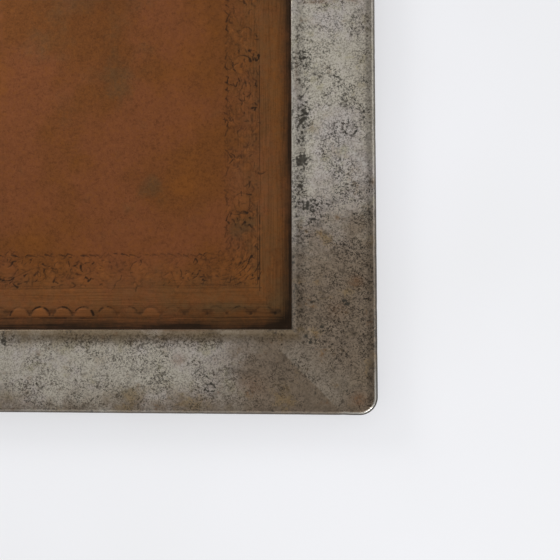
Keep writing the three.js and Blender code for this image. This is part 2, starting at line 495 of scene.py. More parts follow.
class SteelPlaces:
    """Where a point lies on the steel frame, in millimetres, and the noises that its tones and pits share."""

    def __init__(
        self, s: Shader, half_length: float, half_depth: float, top: float, rail_width: float
    ) -> None:
        """Adds the nodes.

        Args:
            s: The finish's shader.
            half_length: Half the frame's length, in metres.
            half_depth: Half its depth.
            top: The height of its top face.
            rail_width: The width of a rail.
        """
        self.place = s.place()
        x, y, z = s.axes(self.place)
        self.from_end = half_length / MM - abs(x)
        self.from_front = half_depth / MM - abs(y)
        self.edge = self.from_end.least(self.from_front)
        self.inner = rail_width / MM - self.edge
        self.long_rail = (self.from_end - self.from_front).between(-2.0, 2.0)
        self.corner = (self.from_end * self.from_end * 1.8 + self.from_front * self.from_front).root()
        self.drop = top / MM - z
        self.clouds = s.noise(self.place, 62.0, 3.0, 0.6)
        self.drift = s.noise(self.place, 24.0, 3.0, 0.65)
        self.mottle = s.noise(self.place, 6.5, 3.0, 0.65)
        self.ragged = s.noise(self.place, 2.5, 3.0, 0.65)
        self.grain = s.noise(self.place, 1.25, 2.0, 0.7)
        self.browned = self._browned()
        self.beside_mitre = (self.from_end - self.from_front) * math.sqrt(0.5) + (self.mottle - 0.5) * 1.5
        self.smooth = self.beside_mitre.between(20.0, 22.0) * self.beside_mitre.between(62.0, 30.0)
        self.smooth = self.smooth * self.long_rail * self.browned

    def _browned(self) -> Socket:
        """How much the wax has browned: at the corners, and along the edges of the long rails.

        Returns:
            The share, from 0 to 1.
        """
        long_rail, drift = self.long_rail, self.drift
        corner = (self.corner + (drift - 0.5) * 100.0).between(235.0, 135.0)
        inner = long_rail * self.inner.between(22.0, 3.0) * drift.between(0.30, 0.55) * 0.9
        outer = self.edge.between(34.0, 6.0) * (0.30 + 0.55 * long_rail) * drift.between(0.25, 0.6)
        return corner.most(inner).most(outer)


@dataclass(frozen=True)
class SteelPits:
    """The pits and marks of the steel, each as a strength from 0 to 1."""

    fine: Socket
    medium: Socket
    coarse: Socket
    seam: Socket
    scaled: Socket
    stain: Socket
    rusty: Socket

    @classmethod
    def over(cls, s: Shader, at: SteelPlaces) -> SteelPits:
        """Strews fine specks all over, crowded in patches, larger pits there too, and scale where marked.

        Args:
            s: The finish's shader.
            at: Where the point lies.

        Returns:
            The pits.
        """
        outer_half = at.edge.between(50.0, 20.0) * at.edge.between(3.0, 7.0) * (1.0 - at.long_rail * 0.6)
        inner_rim = at.inner.between(3.5, 6.0) * at.inner.between(20.0, 10.0)
        crowd = s.noise(at.place, 20.0, 3.0, 0.65) + outer_half * 0.05 + inner_rim * 0.10 - at.browned * 0.01
        crowded = crowd.between(0.42, 0.66)
        blotch = s.marks("blotch")
        worn_scale = ((at.ragged - 0.5) * 1.4 + blotch * 0.30).between(0.20, 0.27)
        seam = abs(at.beside_mitre).between(0.8, 0.2) * at.ragged.between(0.44, 0.58)
        rust = (s.noise(at.place, 15.0, 3.0, 0.75) + at.browned * 0.03).between(0.62, 0.75)
        return cls(
            fine=at.grain.between(0.53, 0.39) * (0.45 + 0.55 * crowded),
            medium=(at.ragged + (crowded - 0.5) * 0.10).between(0.60, 0.68) * crowded,
            coarse=(s.noise(at.place, 4.2, 2.0, 0.6) + (crowded - 0.5) * 0.08).between(0.70, 0.74),
            seam=seam * at.mottle.between(0.42, 0.58),
            scaled=worn_scale * blotch.between(0.03, 0.2),
            stain=s.marks("stain") * (0.30 + 0.70 * at.ragged.between(0.35, 0.62)),
            rusty=rust * at.ragged.between(0.40, 0.60),
        )


@dataclass(frozen=True)
class RawSteel:
    """Waxed hot-rolled steel: mottled, pitted, browner at the welded corners, ground along the mitres."""

    half_length: float
    half_depth: float
    top: float
    rail_width: float
    # Clean steel, also used for the ground band at the mitres and its painted highlight.
    clean: Colour = srgb(159, 152, 139)
    lilac: Colour = srgb(156, 148, 141)
    moss: Colour = srgb(138, 131, 110)
    # Pale steel tone, also used for the painted highlights on the rounded edges.
    pale: Colour = srgb(178, 176, 170)
    brown: Colour = srgb(104, 89, 73)
    warm: Colour = srgb(118, 98, 68)
    rust: Colour = srgb(104, 66, 34)
    # Black scale, also used for the painted dark reflection on the skirt.
    scale: Colour = srgb(28, 27, 20)
    pit: Colour = srgb(38, 28, 18)
    sheen: tuple[float, float, float, float] = (1.0, 0.90, 0.78, 1.0)

    def broad_tones(self, s: Shader, at: SteelPlaces) -> Socket:
        """Lays the broad tones: clouds, browned wax, warm patches, smudges and the mitres' ground band and
        painted highlight.

        Args:
            s: The finish's shader.
            at: Where the point lies.

        Returns:
            The colour.
        """
        unsteady = at.mottle - 0.5
        tone = s.blend((at.clouds + unsteady * 0.3).between(0.42, 0.60), self.clean, self.lilac)
        tone = s.blend((at.drift + unsteady * 0.6).between(0.54, 0.72) * 0.75, tone, self.moss)
        tone = s.blend((at.mottle + (at.clouds - 0.5) * 0.8).between(0.58, 0.76) * 0.30, tone, self.pale)
        tone = s.blend(at.browned * 0.92, tone, self.brown)
        warmth = (s.noise(at.place, 30.0, 3.0, 0.7) + (at.ragged - 0.5) * 0.35).between(0.55, 0.72)
        tone = s.blend(warmth * (0.25 + 0.45 * at.browned), tone, self.warm)
        smudge = (s.noise(at.place, 17.0, 3.0, 0.7) + (at.ragged - 0.5) * 0.3).between(0.56, 0.72)
        tone = s.shade(tone, 1.03 - smudge * (0.16 + 0.34 * at.browned))
        dapple = s.noise(at.place, 3.4, 3.0, 0.75).between(0.50, 0.66) * at.browned
        tone = s.shade(tone, 1.08 - dapple * 0.30)
        # The ground band is lighter steel; its brightest strip, along its edge about 20 mm beside the mitre,
        # is a painted highlight on the ground lip.
        out_along = at.from_end + at.from_front
        band = at.beside_mitre.between(20.8, 19.6) * at.beside_mitre.between(-18.0, 20.0)
        band = band * out_along.between(24.0, 60.0) * out_along.between(150.0, 128.0)
        return s.blend(band * 0.26, tone, self.clean)

    def pitted_tones(self, s: Shader, at: SteelPlaces, pits: SteelPits, tone: Socket) -> Socket:
        """Lays the grain, the pits, the rust and the scale over the broad tones.

        Args:
            s: The finish's shader.
            at: Where the point lies.
            pits: How strong each kind of mark is there.
            tone: The colour beneath.

        Returns:
            The colour.
        """
        mottled = (at.mottle - 0.5) * (0.42 + at.browned * 0.30)
        grained = (at.grain - 0.5) * (0.7 + at.browned * 0.5)
        tone = s.shade(tone, 1.25 - pits.fine * (0.98 - at.smooth * 0.40) + mottled + grained)
        tone = s.shade(tone, 1.0 - at.smooth * 0.10 - at.browned * 0.01)
        tone = s.blend(at.long_rail * 0.16, tone, self.brown)
        tone = s.blend(at.long_rail * at.inner.between(14.0, 3.0) * 0.45, tone, self.warm)
        tone = s.blend(pits.rusty * 0.5, tone, self.rust)
        tone = s.blend(pits.stain, tone, self.rust)
        tone = s.blend((pits.medium * 0.80).most(pits.coarse * 0.8).most(pits.seam * 0.25), tone, self.pit)
        return s.blend(pits.scaled * 0.9, tone, self.scale)

    def edge_tones(
        self, s: Shader, at: SteelPlaces, near_corner: Socket, painted_dark_reflection: Socket, tone: Socket
    ) -> Socket:
        """Paints highlights on the rounded edges, strongest at the corners, darkens bands beside the edges,
        and paints the skirt dark as a painted dark reflection.

        Args:
            s: The finish's shader.
            at: Where the point lies.
            near_corner: 1 at the frame's corners.
            painted_dark_reflection: How dark the skirt is painted there, as a painted dark reflection.
            tone: The colour beneath.

        Returns:
            The colour.
        """
        short_rail = 1.0 - at.long_rail
        # Darker bands: on the top beside the outer edge, strongest on the short rails, and a little in from
        # the inner edge.
        dark_bands_by_edges = at.edge.between(10.5, 7.0) * at.drop.between(0.9, 0.1) * (1.0 - at.long_rail * 0.75)
        dark_bands_by_edges = dark_bands_by_edges.most(at.inner.between(3.0, 6.5) * at.inner.between(15.0, 8.0) * 0.8)
        tone = s.blend(dark_bands_by_edges * (0.36 + (at.ragged - 0.5)), tone, self.pit)
        # Painted highlight: a thin pale line along the inner rounded edge.
        painted_inner_highlight = at.inner.between(4.6, 3.0) * at.inner.between(0.2, 0.9) * (1.0 - at.long_rail * 0.5)
        tone = s.blend(painted_inner_highlight * 0.06, tone, self.pale)
        # Darker again close to the inner edge on the short rails.
        tone = s.shade(tone, 1.0 - at.inner.between(7.0, 1.0) * short_rail * 0.14)
        # Painted dark reflection: what lies more than about a millimetre below the top, the skirt most of
        # all, is painted near black.
        tone = s.blend(painted_dark_reflection, tone, self.scale)
        # Painted highlight: the rounded edges are painted pale where they turn down, most strongly at the
        # outer corners.
        arris = at.drop.between(0.2, 0.8) * at.drop.between(1.9, 1.0)
        return s.blend(arris * (0.08 + 0.55 * near_corner), tone, self.pale)

    def material(self) -> bpy.types.Material:
        """Builds the finish.

        Returns:
            The finished material.
        """
        s = Shader(Slot.STEEL.value)
        at = SteelPlaces(s, self.half_length, self.half_depth, self.top, self.rail_width)
        pits = SteelPits.over(s, at)
        near_corner = at.corner.between(52.0, 24.0)
        # Painted dark reflection on the skirt, darkest at the corners; it also takes the metal and the gloss
        # away there.
        painted_dark_reflection = at.drop.between(0.7, 1.7) * (0.72 + 0.26 * near_corner)
        worn = at.drop.between(0.1, 0.6) * at.drop.between(2.4, 1.0)
        tone = self.pitted_tones(s, at, pits, self.broad_tones(s, at))
        tone = self.edge_tones(s, at, near_corner, painted_dark_reflection, tone)

        depth = pits.fine * 0.35 + pits.medium + pits.coarse + pits.scaled * 0.9 + pits.seam * 0.5
        normal = s.bump((at.grain - 0.5) * 0.25 - depth * 0.9, 0.12)
        normal = s.bump(s.noise(at.place, 12.0, 2.0) - 0.5, 0.16, normal)
        bare = 0.80 - pits.scaled * 0.65 - pits.stain * 0.4 - painted_dark_reflection * 1.1 - pits.medium * 0.35
        rough = pits.scaled * 0.25 + pits.stain * 0.20 + (at.mottle - 0.5) * 0.24
        return s.surface(
            Base_Color=tone,
            Metallic=(bare - pits.fine * 0.15).most(0.0),
            Roughness=0.38 + pits.fine * 0.22 + rough - worn * 0.16 + painted_dark_reflection * 0.50,
            Specular_IOR_Level=0.4,
            Specular_Tint=self.sheen,
            Coat_Weight=worn * 0.55,
            Coat_Roughness=0.14,
            Normal=normal,
        )


@dataclass(frozen=True)
class PatinatedCopper:
    """Old copper: a brown skin, rubbed to orange in places, with dark grime in the chased lines and painted
    shade in the cove under the rails.
    """

    half_length: float
    half_depth: float
    ground: Colour = srgb(104, 62, 30)
    orange: Colour = srgb(122, 72, 29)
    rose: Colour = srgb(112, 66, 38)
    olive: Colour = srgb(90, 69, 44)
    # Dark fill for the grime in the lines and the freckles, and for the painted shade of the cove.
    dirt_and_shade: Colour = srgb(24, 18, 12)
    rubbed: Colour = srgb(146, 88, 44)
    sheen: tuple[float, float, float, float] = (0.80, 0.56, 0.42, 1.0)

    def near_edge(self, s: Shader) -> tuple[Socket, Socket]:
        """Finds the plain strip inside the rim, and the fine drawn lines that run along each of its sides.

        Args:
            s: The finish's shader.

        Returns:
            How near the rim the point is, and how strong the lines are there.
        """
        x, y, _ = s.axes(s.place())
        from_end = self.half_length / MM - abs(x)
        from_front = self.half_depth / MM - abs(y)
        near_edge = from_end.least(from_front).between(70.0, 24.0)
        along_x = s.noise(s.place((0.02, 1.0, 1.0)), 1.3, 2.0, 0.8)
        along_y = s.noise(s.place((1.0, 0.02, 1.0)), 1.3, 2.0, 0.8)
        sideways = (from_front - from_end).between(-1.0, 1.0)
        drawn = along_x + (along_y - along_x) * sideways
        return near_edge, drawn.between(0.56, 0.38) * near_edge

    def material(self) -> bpy.types.Material:
        """Builds the finish.

        Returns:
            The finished material.
        """
        s = Shader(Slot.COPPER.value)
        place = s.place()
        clouds = s.noise(place, 80.0, 3.0, 0.55)
        drift = s.noise(place, 30.0, 4.0, 0.6)
        mottle = s.noise(place, 8.0, 4.0, 0.7)
        leather = s.noise(place, 3.6, 3.0, 0.7)
        freckle = s.noise(place, 2.1, 3.0, 0.7)
        grain = s.noise(place, 1.9, 3.0, 0.8)
        warm, dirt_and_shade, rub = s.marks("warmth"), s.marks("dirt_and_shade"), s.marks("rub")
        near_edge, lines = self.near_edge(s)

        tone = s.blend(clouds.between(0.42, 0.62), self.ground, self.rose)
        tone = s.blend((drift + warm * 0.35).between(0.52, 0.88) * 0.50, tone, self.orange)
        tone = s.blend((1.0 - drift - warm * 0.35).between(0.54, 0.90) * 0.60, tone, self.olive)
        uneven = (mottle - 0.5) * 0.45 + (grain - 0.5) * 0.9
        tone = s.shade(tone, 1.05 + uneven - leather.between(0.50, 0.36) * 0.16)
        tone = s.blend(leather.between(0.54, 0.66) * 0.35, tone, self.orange)
        tone = s.shade(tone, 1.0 - warm.between(0.0, -0.9) * 0.15)
        tone = s.blend(near_edge * (0.18 + 0.26 * mottle.between(0.40, 0.60)), tone, self.olive)
        tone = s.shade(tone, 1.06 - lines * 0.24 + near_edge * 0.14)

        # The grime channel also carries the painted shade of the cove under the rails.
        grimed_and_shaded = dirt_and_shade + (mottle - 0.5) * 0.7 * dirt_and_shade.between(0.0, 0.3) + lines * 0.3 * dirt_and_shade
        grimed_and_shaded = grimed_and_shaded.least(1.0).most(0.0)
        spots = freckle.between(0.66, 0.76) * drift.between(0.40, 0.56)
        tone = s.blend(grimed_and_shaded * 0.90, tone, self.dirt_and_shade)
        tone = s.blend(spots * 0.5, tone, self.dirt_and_shade)
        tone = s.blend(rub * 0.6, tone, self.rubbed)

        skin = (grain - 0.5) * 0.7 + (mottle - 0.5) * 1.2 + leather * 0.8
        return s.surface(
            Base_Color=tone,
            Metallic=0.66 - grimed_and_shaded * 0.5,
            Roughness=0.50 + grimed_and_shaded * 0.25 + (mottle - 0.5) * 0.26 - rub * 0.12,
            Specular_IOR_Level=0.3,
            Specular_Tint=self.sheen,
            Normal=s.bump(skin - spots - lines * 0.5, 0.12),
        )


@dataclass(frozen=True)
class SawnWood:
    """Plain softwood with a straight grain along its length."""

    pale: Colour = srgb(188, 152, 104)
    dark: Colour = srgb(140, 102, 62)

    def material(self) -> bpy.types.Material:
        """Builds the finish.

        Returns:
            The finished material.
        """
        s = Shader(Slot.PACKING.value)
        place = s.place()
        x, y, _ = s.axes(place)
        long_grain = s.noise(s.place((0.04, 1.0, 1.0)), 2.6, 4.0, 0.65)
        cross_grain = s.noise(s.place((1.0, 0.04, 1.0)), 2.6, 4.0, 0.65)
        turned_side = (abs(x) - abs(y)).between(149.0, 151.0)
        grain = long_grain + (cross_grain - long_grain) * turned_side
        fuzz = s.noise(place, 0.7, 2.0, 0.8)
        tone = s.blend(grain.between(0.42, 0.66), self.pale, self.dark)
        tone = s.shade(tone, 0.92 + fuzz * 0.16)
        normal = s.bump(grain + fuzz * 0.4, 0.25)
        return s.surface(Base_Color=tone, Roughness=0.72 + fuzz * 0.15, Normal=normal)


@dataclass(frozen=True)
class Plywood:
    """Sealed birch plywood: a rotary-cut face, and plies that show at the edges."""

    low: float
    high: float
    plies: int = 7
    pale: Colour = srgb(206, 176, 132)
    dark: Colour = srgb(172, 134, 88)
    glue: Colour = srgb(92, 66, 42)

    def material(self) -> bpy.types.Material:
        """Builds the finish.

        Returns:
            The finished material.
        """
        s = Shader(Slot.PLYWOOD.value)
        place = s.place()
        _, _, z = s.axes(place)
        bend = s.noise(s.place((0.006, 0.02, 1.0)), 1.6, 2.0, 0.5)
        figure = s.noise(s.place((0.02, 0.35, 1.0)), 7.0, 4.0, 0.6)
        pores = s.noise(s.place((0.08, 1.0, 1.0)), 0.8, 2.0, 0.7)
        streaks = s.noise(s.place((0.03, 1.0, 1.0)), 3.2, 4.0, 0.7)
        tone = s.blend((figure + (bend - 0.5) * 0.4).between(0.36, 0.68) * 0.55, self.pale, self.dark)
        tone = s.blend(streaks.between(0.46, 0.64) * 0.45, tone, self.dark)
        tone = s.shade(tone, 1.04 - pores.between(0.50, 0.72) * 0.22)
        ply = (self.high - self.low) / self.plies / MM
        layer = (z - self.low / MM) / ply
        within = layer.math("FRACT", layer)
        edge = s.blend((layer % 2.0).between(0.95, 1.05), self.pale, self.dark)
        edge = s.blend(abs(within - 0.5).between(0.42, 0.49), edge, self.glue)
        _, _, up = s.axes(s.node("ShaderNodeNewGeometry", out="Normal"))
        tone = s.blend(abs(up).between(0.6, 0.3), tone, edge)
        normal = s.bump(pores, 0.08)
        return s.surface(Base_Color=tone, Roughness=0.5 + pores * 0.2, Normal=normal)


@dataclass(frozen=True)
class PlatedSteel:
    """Dull zinc plating with a few handling marks."""

    bright: Colour = srgb(196, 194, 186)
    dull: Colour = srgb(138, 135, 124)

    def material(self) -> bpy.types.Material:
        """Builds the finish.

        Returns:
            The finished material.
        """
        s = Shader(Slot.PLATED.value)
        place = s.place()
        bloom = s.noise(place, 3.0, 4.0, 0.7)
        speck = s.noise(place, 0.4, 2.0, 0.7)
        tone = s.blend(bloom.between(0.40, 0.66), self.bright, self.dull)
        normal = s.bump(speck + bloom, 0.03)
        return s.surface(
            Base_Color=tone, Metallic=1.0, Roughness=0.28 + bloom * 0.25 + speck * 0.08, Normal=normal
        )


@dataclass(frozen=True)
class FootRubber:
    """Matt black rubber, dusty where it meets the ground."""

    black: Colour = srgb(30, 29, 28)
    dusty: Colour = srgb(84, 80, 74)

    def material(self) -> bpy.types.Material:
        """Builds the finish.

        Returns:
            The finished material.
        """
        s = Shader(Slot.RUBBER.value)
        place = s.place()
        _, _, z = s.axes(place)
        cloud = s.noise(place, 4.0, 4.0, 0.7)
        fine = s.noise(place, 0.5, 2.0, 0.8)
        dust = z.between(2.2, 0.0) * 0.5 + cloud.between(0.5, 0.7) * 0.3
        tone = s.blend(dust * fine.between(0.3, 0.7), self.black, self.dusty)
        normal = s.bump(fine, 0.06)
        return s.surface(Base_Color=tone, Roughness=0.74 + cloud * 0.16, Normal=normal)


# ---------------------------------------------------------------------------------------------------------
# Steel frame
# ---------------------------------------------------------------------------------------------------------


class Side(Enum):
    """The frame's four sides, with the quarter turns that bring the front one round to each."""

    FRONT = 0
    RIGHT = 1
    BACK = 2
    LEFT = 3

    @property
    def label(self) -> str:
        """The side's word in node names."""
        return self.name.lower()

    @property
    def long(self) -> bool:
        """Whether it is one of the two long sides."""
        return self in (Side.FRONT, Side.BACK)

    def pair(self, along: float, across: float) -> tuple[float, float]:
        """Two sizes of the tray as this side has them: swapped on the short sides."""
        return (along, across) if self.long else (across, along)

    def turn(self, x: np.ndarray, y: np.ndarray) -> tuple[np.ndarray, np.ndarray]:
        """Brings plan places of the front side round to this one.

        Args:
            x: Places along the side.
            y: Places across it, with the outer face towards -y.

        Returns:
            The places on the tray.
        """
        return ((x, y), (-y, x), (-x, -y), (y, -x))[self.value]


@dataclass(frozen=True)
class Mark:
    """A soft mark near the front right corner, measured in millimetres from the two edges there."""

    from_right: float
    from_front: float
    across: float
    along: float
    strength: float

    def over(self, from_right: np.ndarray, from_front: np.ndarray) -> np.ndarray:
        """How strong it is at places measured from the same edges."""
        away = ((from_right - self.from_right) / self.across) ** 2
        away += ((from_front - self.from_front) / self.along) ** 2
        return self.strength * np.exp(-away)


def marks(*rows: tuple[float, float, float, float, float]) -> tuple[Mark, ...]:
    """Marks from rows of their five fields."""
    return tuple(Mark(*row) for row in rows)


@dataclass
class SteelFrame:
    """Four mitred rails with rounded outer edges, as one welded and ground frame."""

    half_length: float
    half_depth: float
    top: float
    rail_width: float
    underside: float
    skirt_low: float
    thickness: float = 5 * MM
    corner_radius: float = 16 * MM
    edge_radius: float = 4.5 * MM
    inner_edge_radius: float = 1.5 * MM
    inside_fillet: float = 3 * MM
    arris: float = 0.5 * MM
    cell: float = 1.6 * MM
    hidden_cell: float = 8 * MM
    joint: float = 0.004 * MM
    knocks: int = 90
    far_marks: int = 150
    placed_length: float = 120 * MM
    placed_depth: float = 140 * MM
    scale_marks: Sequence[Mark] = marks(
        (65, 317, 6, 9, 0.8), (67, 296, 3, 4, 0.7), (61, 288, 3, 4, 0.8), (66, 281, 3, 5, 0.7),
        (64, 262, 5, 13, 1.0), (66, 244, 4, 10, 0.9), (65, 224, 7, 7, 1.5), (66, 201, 4, 7, 0.9),
        (60, 184, 10, 7, 1.1), (54, 172, 6, 6, 0.6), (36, 297, 4, 4, 0.6), (39, 272, 3, 6, 0.5),
        (10, 262, 2, 12, 0.7), (29, 100, 2.4, 2.4, 1.1), (57, 98, 4, 2.6, 0.8), (55, 104, 2.5, 2.0, 0.7),
        (49, 77, 2.5, 2.5, 1.0), (62, 68, 3.5, 2.5, 0.9), (56, 63, 4, 3, 1.0), (73, 47, 3, 5, 0.8),
        (55, 20, 2.5, 5, 0.7), (25, 21, 4, 3, 0.9), (108, 30, 1.2, 1.2, 1.4), (147, 32, 5, 3, 0.5),
        (160, 36, 6, 4, 0.6), (26, 97, 2.6, 2.6, 1.2), (53, 99, 3.0, 2.2, 0.9), (45, 120, 2.0, 3.0, 0.8),
        (71, 110, 2.4, 8, 0.8), (73, 135, 2.0, 9, 0.8),
    )
    stain_marks: Sequence[Mark] = marks(
        (20, 369, 8, 3, 0.9), (50, 367, 16, 1.6, 0.7), (18, 116, 6, 5, 0.7), (17, 14, 7, 6, 0.7),
        (170, 75, 30, 2, 0.6), (175, 48, 6, 5, 0.55), (35, 92, 10, 8, 0.3), (70, 300, 2, 25, 0.4),
        (110, 25, 12, 8, 0.35),
    )
    ring_marks: Sequence[Mark] = marks(
        (147, 23, 3.8, 1.3, 1.0), (22, 250, 4.6, 1.6, 0.9),
    )

    def section(self) -> np.ndarray:
        """A rail's section, as (inward from the outer face, height, outward normal) around it.

        Returns:
            Rows of inward distance, height, and the normal's inward and upward parts.
        """
        width, thick, top = self.rail_width, self.thickness, self.top
        low, under = self.skirt_low, self.underside
        edge, inner, fillet, arris = self.edge_radius, self.inner_edge_radius, self.inside_fillet, self.arris
        corners: list[list[Point]] = [
            arc((width - inner, top - inner), inner, 0, 90, 4),
            arc((edge, top - edge), edge, 90, 180, 8),
            arc((arris, low + arris), arris, 180, 270, 2),
            arc((thick - arris, low + arris), arris, 270, 360, 2),
            arc((thick + fillet, under - fillet), fillet, 180, 90, 3),
            arc((width - arris, under + arris), arris, 270, 360, 2),
        ]
        spacings = [self.cell, self.cell * 1.6, self.cell * 2, self.hidden_cell, self.hidden_cell, self.cell]
        points: list[Point] = []
        for i, corner in enumerate(corners):
            following = corners[(i + 1) % len(corners)][0]
            points += corner + ruled(corner[-1], following, spacings[i])
        loop = np.array(points)
        ahead, behind = np.roll(loop, -1, axis=0), np.roll(loop, 1, axis=0)
        along = ahead - behind
        along /= np.linalg.norm(along, axis=1, keepdims=True)
        return np.column_stack([loop, along[:, 1], -along[:, 0]])

    def stations(self, path: float) -> np.ndarray:
        """Shares of the half rail from its middle to its mitre, closer together round the corner.

        Args:
            path: The length of the half rail.

        Returns:
            Shares from 0 to 1.
        """
        turning = self.corner_radius * 1.6
        plain = np.linspace(0, path - turning, math.ceil((path - turning) / (self.cell * 1.25)) + 1)
        close = np.linspace(path - turning, path, math.ceil(turning / (self.cell * 0.5)) + 1)
        return np.concatenate([plain, close[1:]]) / path

    def build_rail(self, side: Side) -> Node:
        """Makes one rail.

        Args:
            side: Which rail.

        Returns:
            The rail, in place of its frame node.
        """
        half, reach = side.pair(self.half_length, self.half_depth)
        section = self.section()
        inward, height, normal_in, normal_up = section.T
        radius = np.maximum(self.corner_radius - inward, 0.0)
        straight = half - np.maximum(inward, self.corner_radius)
        path = straight + radius * math.pi / 4 - self.joint
        shares = self.stations(half)
        run = np.outer(np.concatenate([-shares[:0:-1], shares]), path)
        gone = np.abs(run) - straight
        angle = np.where(radius > 0, np.maximum(gone, 0.0) / np.maximum(radius, 1e-9), 0.0)
        x = np.where(gone > 0, straight + radius * np.sin(angle), np.abs(run))
        y = inward + radius * (1 - np.cos(angle))
        out_x, out_y = -normal_in * np.sin(angle), normal_in * np.cos(angle)
        sign = np.where(run < 0, -1.0, 1.0)
        x, out_x = x * sign, out_x * sign
        y, out_y = y - reach, out_y + 0 * y
        z, out_z = np.broadcast_to(height, x.shape), np.broadcast_to(normal_up, x.shape)
        x, y = side.turn(x, y)
        out_x, out_y = side.turn(out_x, out_y)
        sunk = self.wear(x, y, z)
        points = np.stack([x - out_x * sunk, y - out_y * sunk, z - out_z * sunk], axis=-1)
        rows, columns = x.shape
        faces = [wrap_faces(rows, columns, False, True)]
        ends = np.arange(columns)
        faces += [ends[None, :], ((rows - 1) * columns + ends)[None, ::-1]]
        flat = points.reshape(-1, 3)
        painted = {"blotch": self.scale(flat), "stain": self.stains(flat)}
        made = make_mesh(f"ground_rail_{side.label}", flat, faces, painted)
        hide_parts(f"frame_rail_{side.label}")
        return made

    def wear(self, x: np.ndarray, y: np.ndarray, z: np.ndarray) -> np.ndarray:
        """How far the surface lies below its drawn place, from grinding, rust and knocks.

        Args:
            x: Places along the tray.
            y: Places across the tray.
            z: Heights.

        Returns:
            Depths in metres, none below zero.
        """
        ground = Unevenness(Seed.GROUND)
        across = z * 1.7
        waves = 0.09 * (1 + ground.at(x + across, y - across, 55 * MM))
        waves += 0.045 * (1 + ground.at(x - across, y + across, 17 * MM))
        waves += 0.02 * (1 + ground.at(x + across, y, 5 * MM))
        near_seam = np.abs((self.half_length - np.abs(x)) - (self.half_depth - np.abs(y)))
        waves += 0.015 * np.exp(-((near_seam / (1.5 * MM)) ** 2))
        dents = np.zeros_like(waves)
        draw = np.random.default_rng(Seed.KNOCKS)
        for _ in range(self.knocks):
            side = Side(int(draw.integers(4)))
            half, reach = side.pair(self.half_length, self.half_depth)
            along = draw.uniform(-half, half) * 0.97
            inner = draw.random() < 0.35
            from_face = self.rail_width if inner else draw.uniform(0, 1.6) * MM
            high = self.top - (0 if inner else draw.uniform(0.5, 9) * MM)
            size = draw.uniform(1.8, 5.5) * MM
            depth = draw.uniform(0.12, 0.45)
            cx, cy = side.turn(np.array(along), np.array(from_face - reach))
            distance = (x - cx) ** 2 + (y - cy) ** 2 + (z - high) ** 2
            dents = np.maximum(dents, depth * np.exp(-distance / size**2 * 2))
        return (waves + dents) * MM * 0.8

    def scale(self, points: np.ndarray) -> np.ndarray:
        """How thickly black scale lies at each point.

        Args:
            points: The rail's points.

        Returns:
            Strengths, 0 where there is none.
        """
        strength = self._spread(points, self.scale_marks)
        from_right, from_front = self._from_corner(points)
        for mark in self.ring_marks:
            away = np.hypot(from_right - mark.from_right, from_front - mark.from_front)
            ring = np.exp(-(((away - mark.across) / mark.along) ** 2))
            strength = np.maximum(strength, mark.strength * ring)
        draw = np.random.default_rng(Seed.SCALE)
        inner_x = self.half_length - self.rail_width
        inner_y = self.half_depth - self.rail_width
        for _ in range(self.far_marks):
            side = Side(int(draw.integers(4)))
            half, reach = side.pair(self.half_length, self.half_depth)
            inner = half - self.rail_width
            along = draw.uniform(-inner, inner)
            across = self.rail_width * (1 - abs(draw.normal(0.12, 0.22)))
            across = min(max(across, 4 * MM), self.rail_width - 2 * MM)
            cx, cy = (float(v) for v in side.turn(np.array(along), np.array(across - reach)))
            size, force = draw.uniform(1.8, 6.5), draw.uniform(0.4, 1.1)
            beside_right = cx > inner_x - 60 * MM and cy < self.placed_depth
            beside_front = cy < -inner_y and cx > self.placed_length
            if beside_right or beside_front:
                continue
            away = np.hypot(points[:, 0] - cx, (points[:, 1] - cy) * 0.8) / MM
            strength = np.maximum(strength, force * np.exp(-((away / size) ** 2)))
        return strength

    def stains(self, points: np.ndarray) -> np.ndarray:
        """How strongly rust stains each point.

        Args:
            points: The rail's points.

        Returns:
            Strengths, 0 where there is none.
        """
        return self._spread(points, self.stain_marks)

    def _spread(self, points: np.ndarray, soft: Sequence[Mark]) -> np.ndarray:
        """Lays soft marks on the points, the strongest winning.

        Args:
            points: The rail's points.
            soft: The marks.

        Returns:
            Strengths, 0 where there is none.
        """
        strength = np.zeros(len(points))
        places = self._from_corner(points)
        for mark in soft:
            strength = np.maximum(strength, mark.over(*places))
        return strength

    def _from_corner(self, points: np.ndarray) -> tuple[np.ndarray, np.ndarray]:
        """How far points lie from the right and the front edge, in millimetres."""
        return (self.half_length - points[:, 0]) / MM, (self.half_depth + points[:, 1]) / MM

    def build(self) -> list[Node]:
        """Makes and dresses the four rails.

        Returns:
            The rails.
        """
        steel = RawSteel(self.half_length, self.half_depth, self.top, self.rail_width).material()
        rails = [self.build_rail(side) for side in Side]
        for rail in rails:
            place_piece(rail, steel)
        return rails


# ---------------------------------------------------------------------------------------------------------
# Copper tray
# ---------------------------------------------------------------------------------------------------------


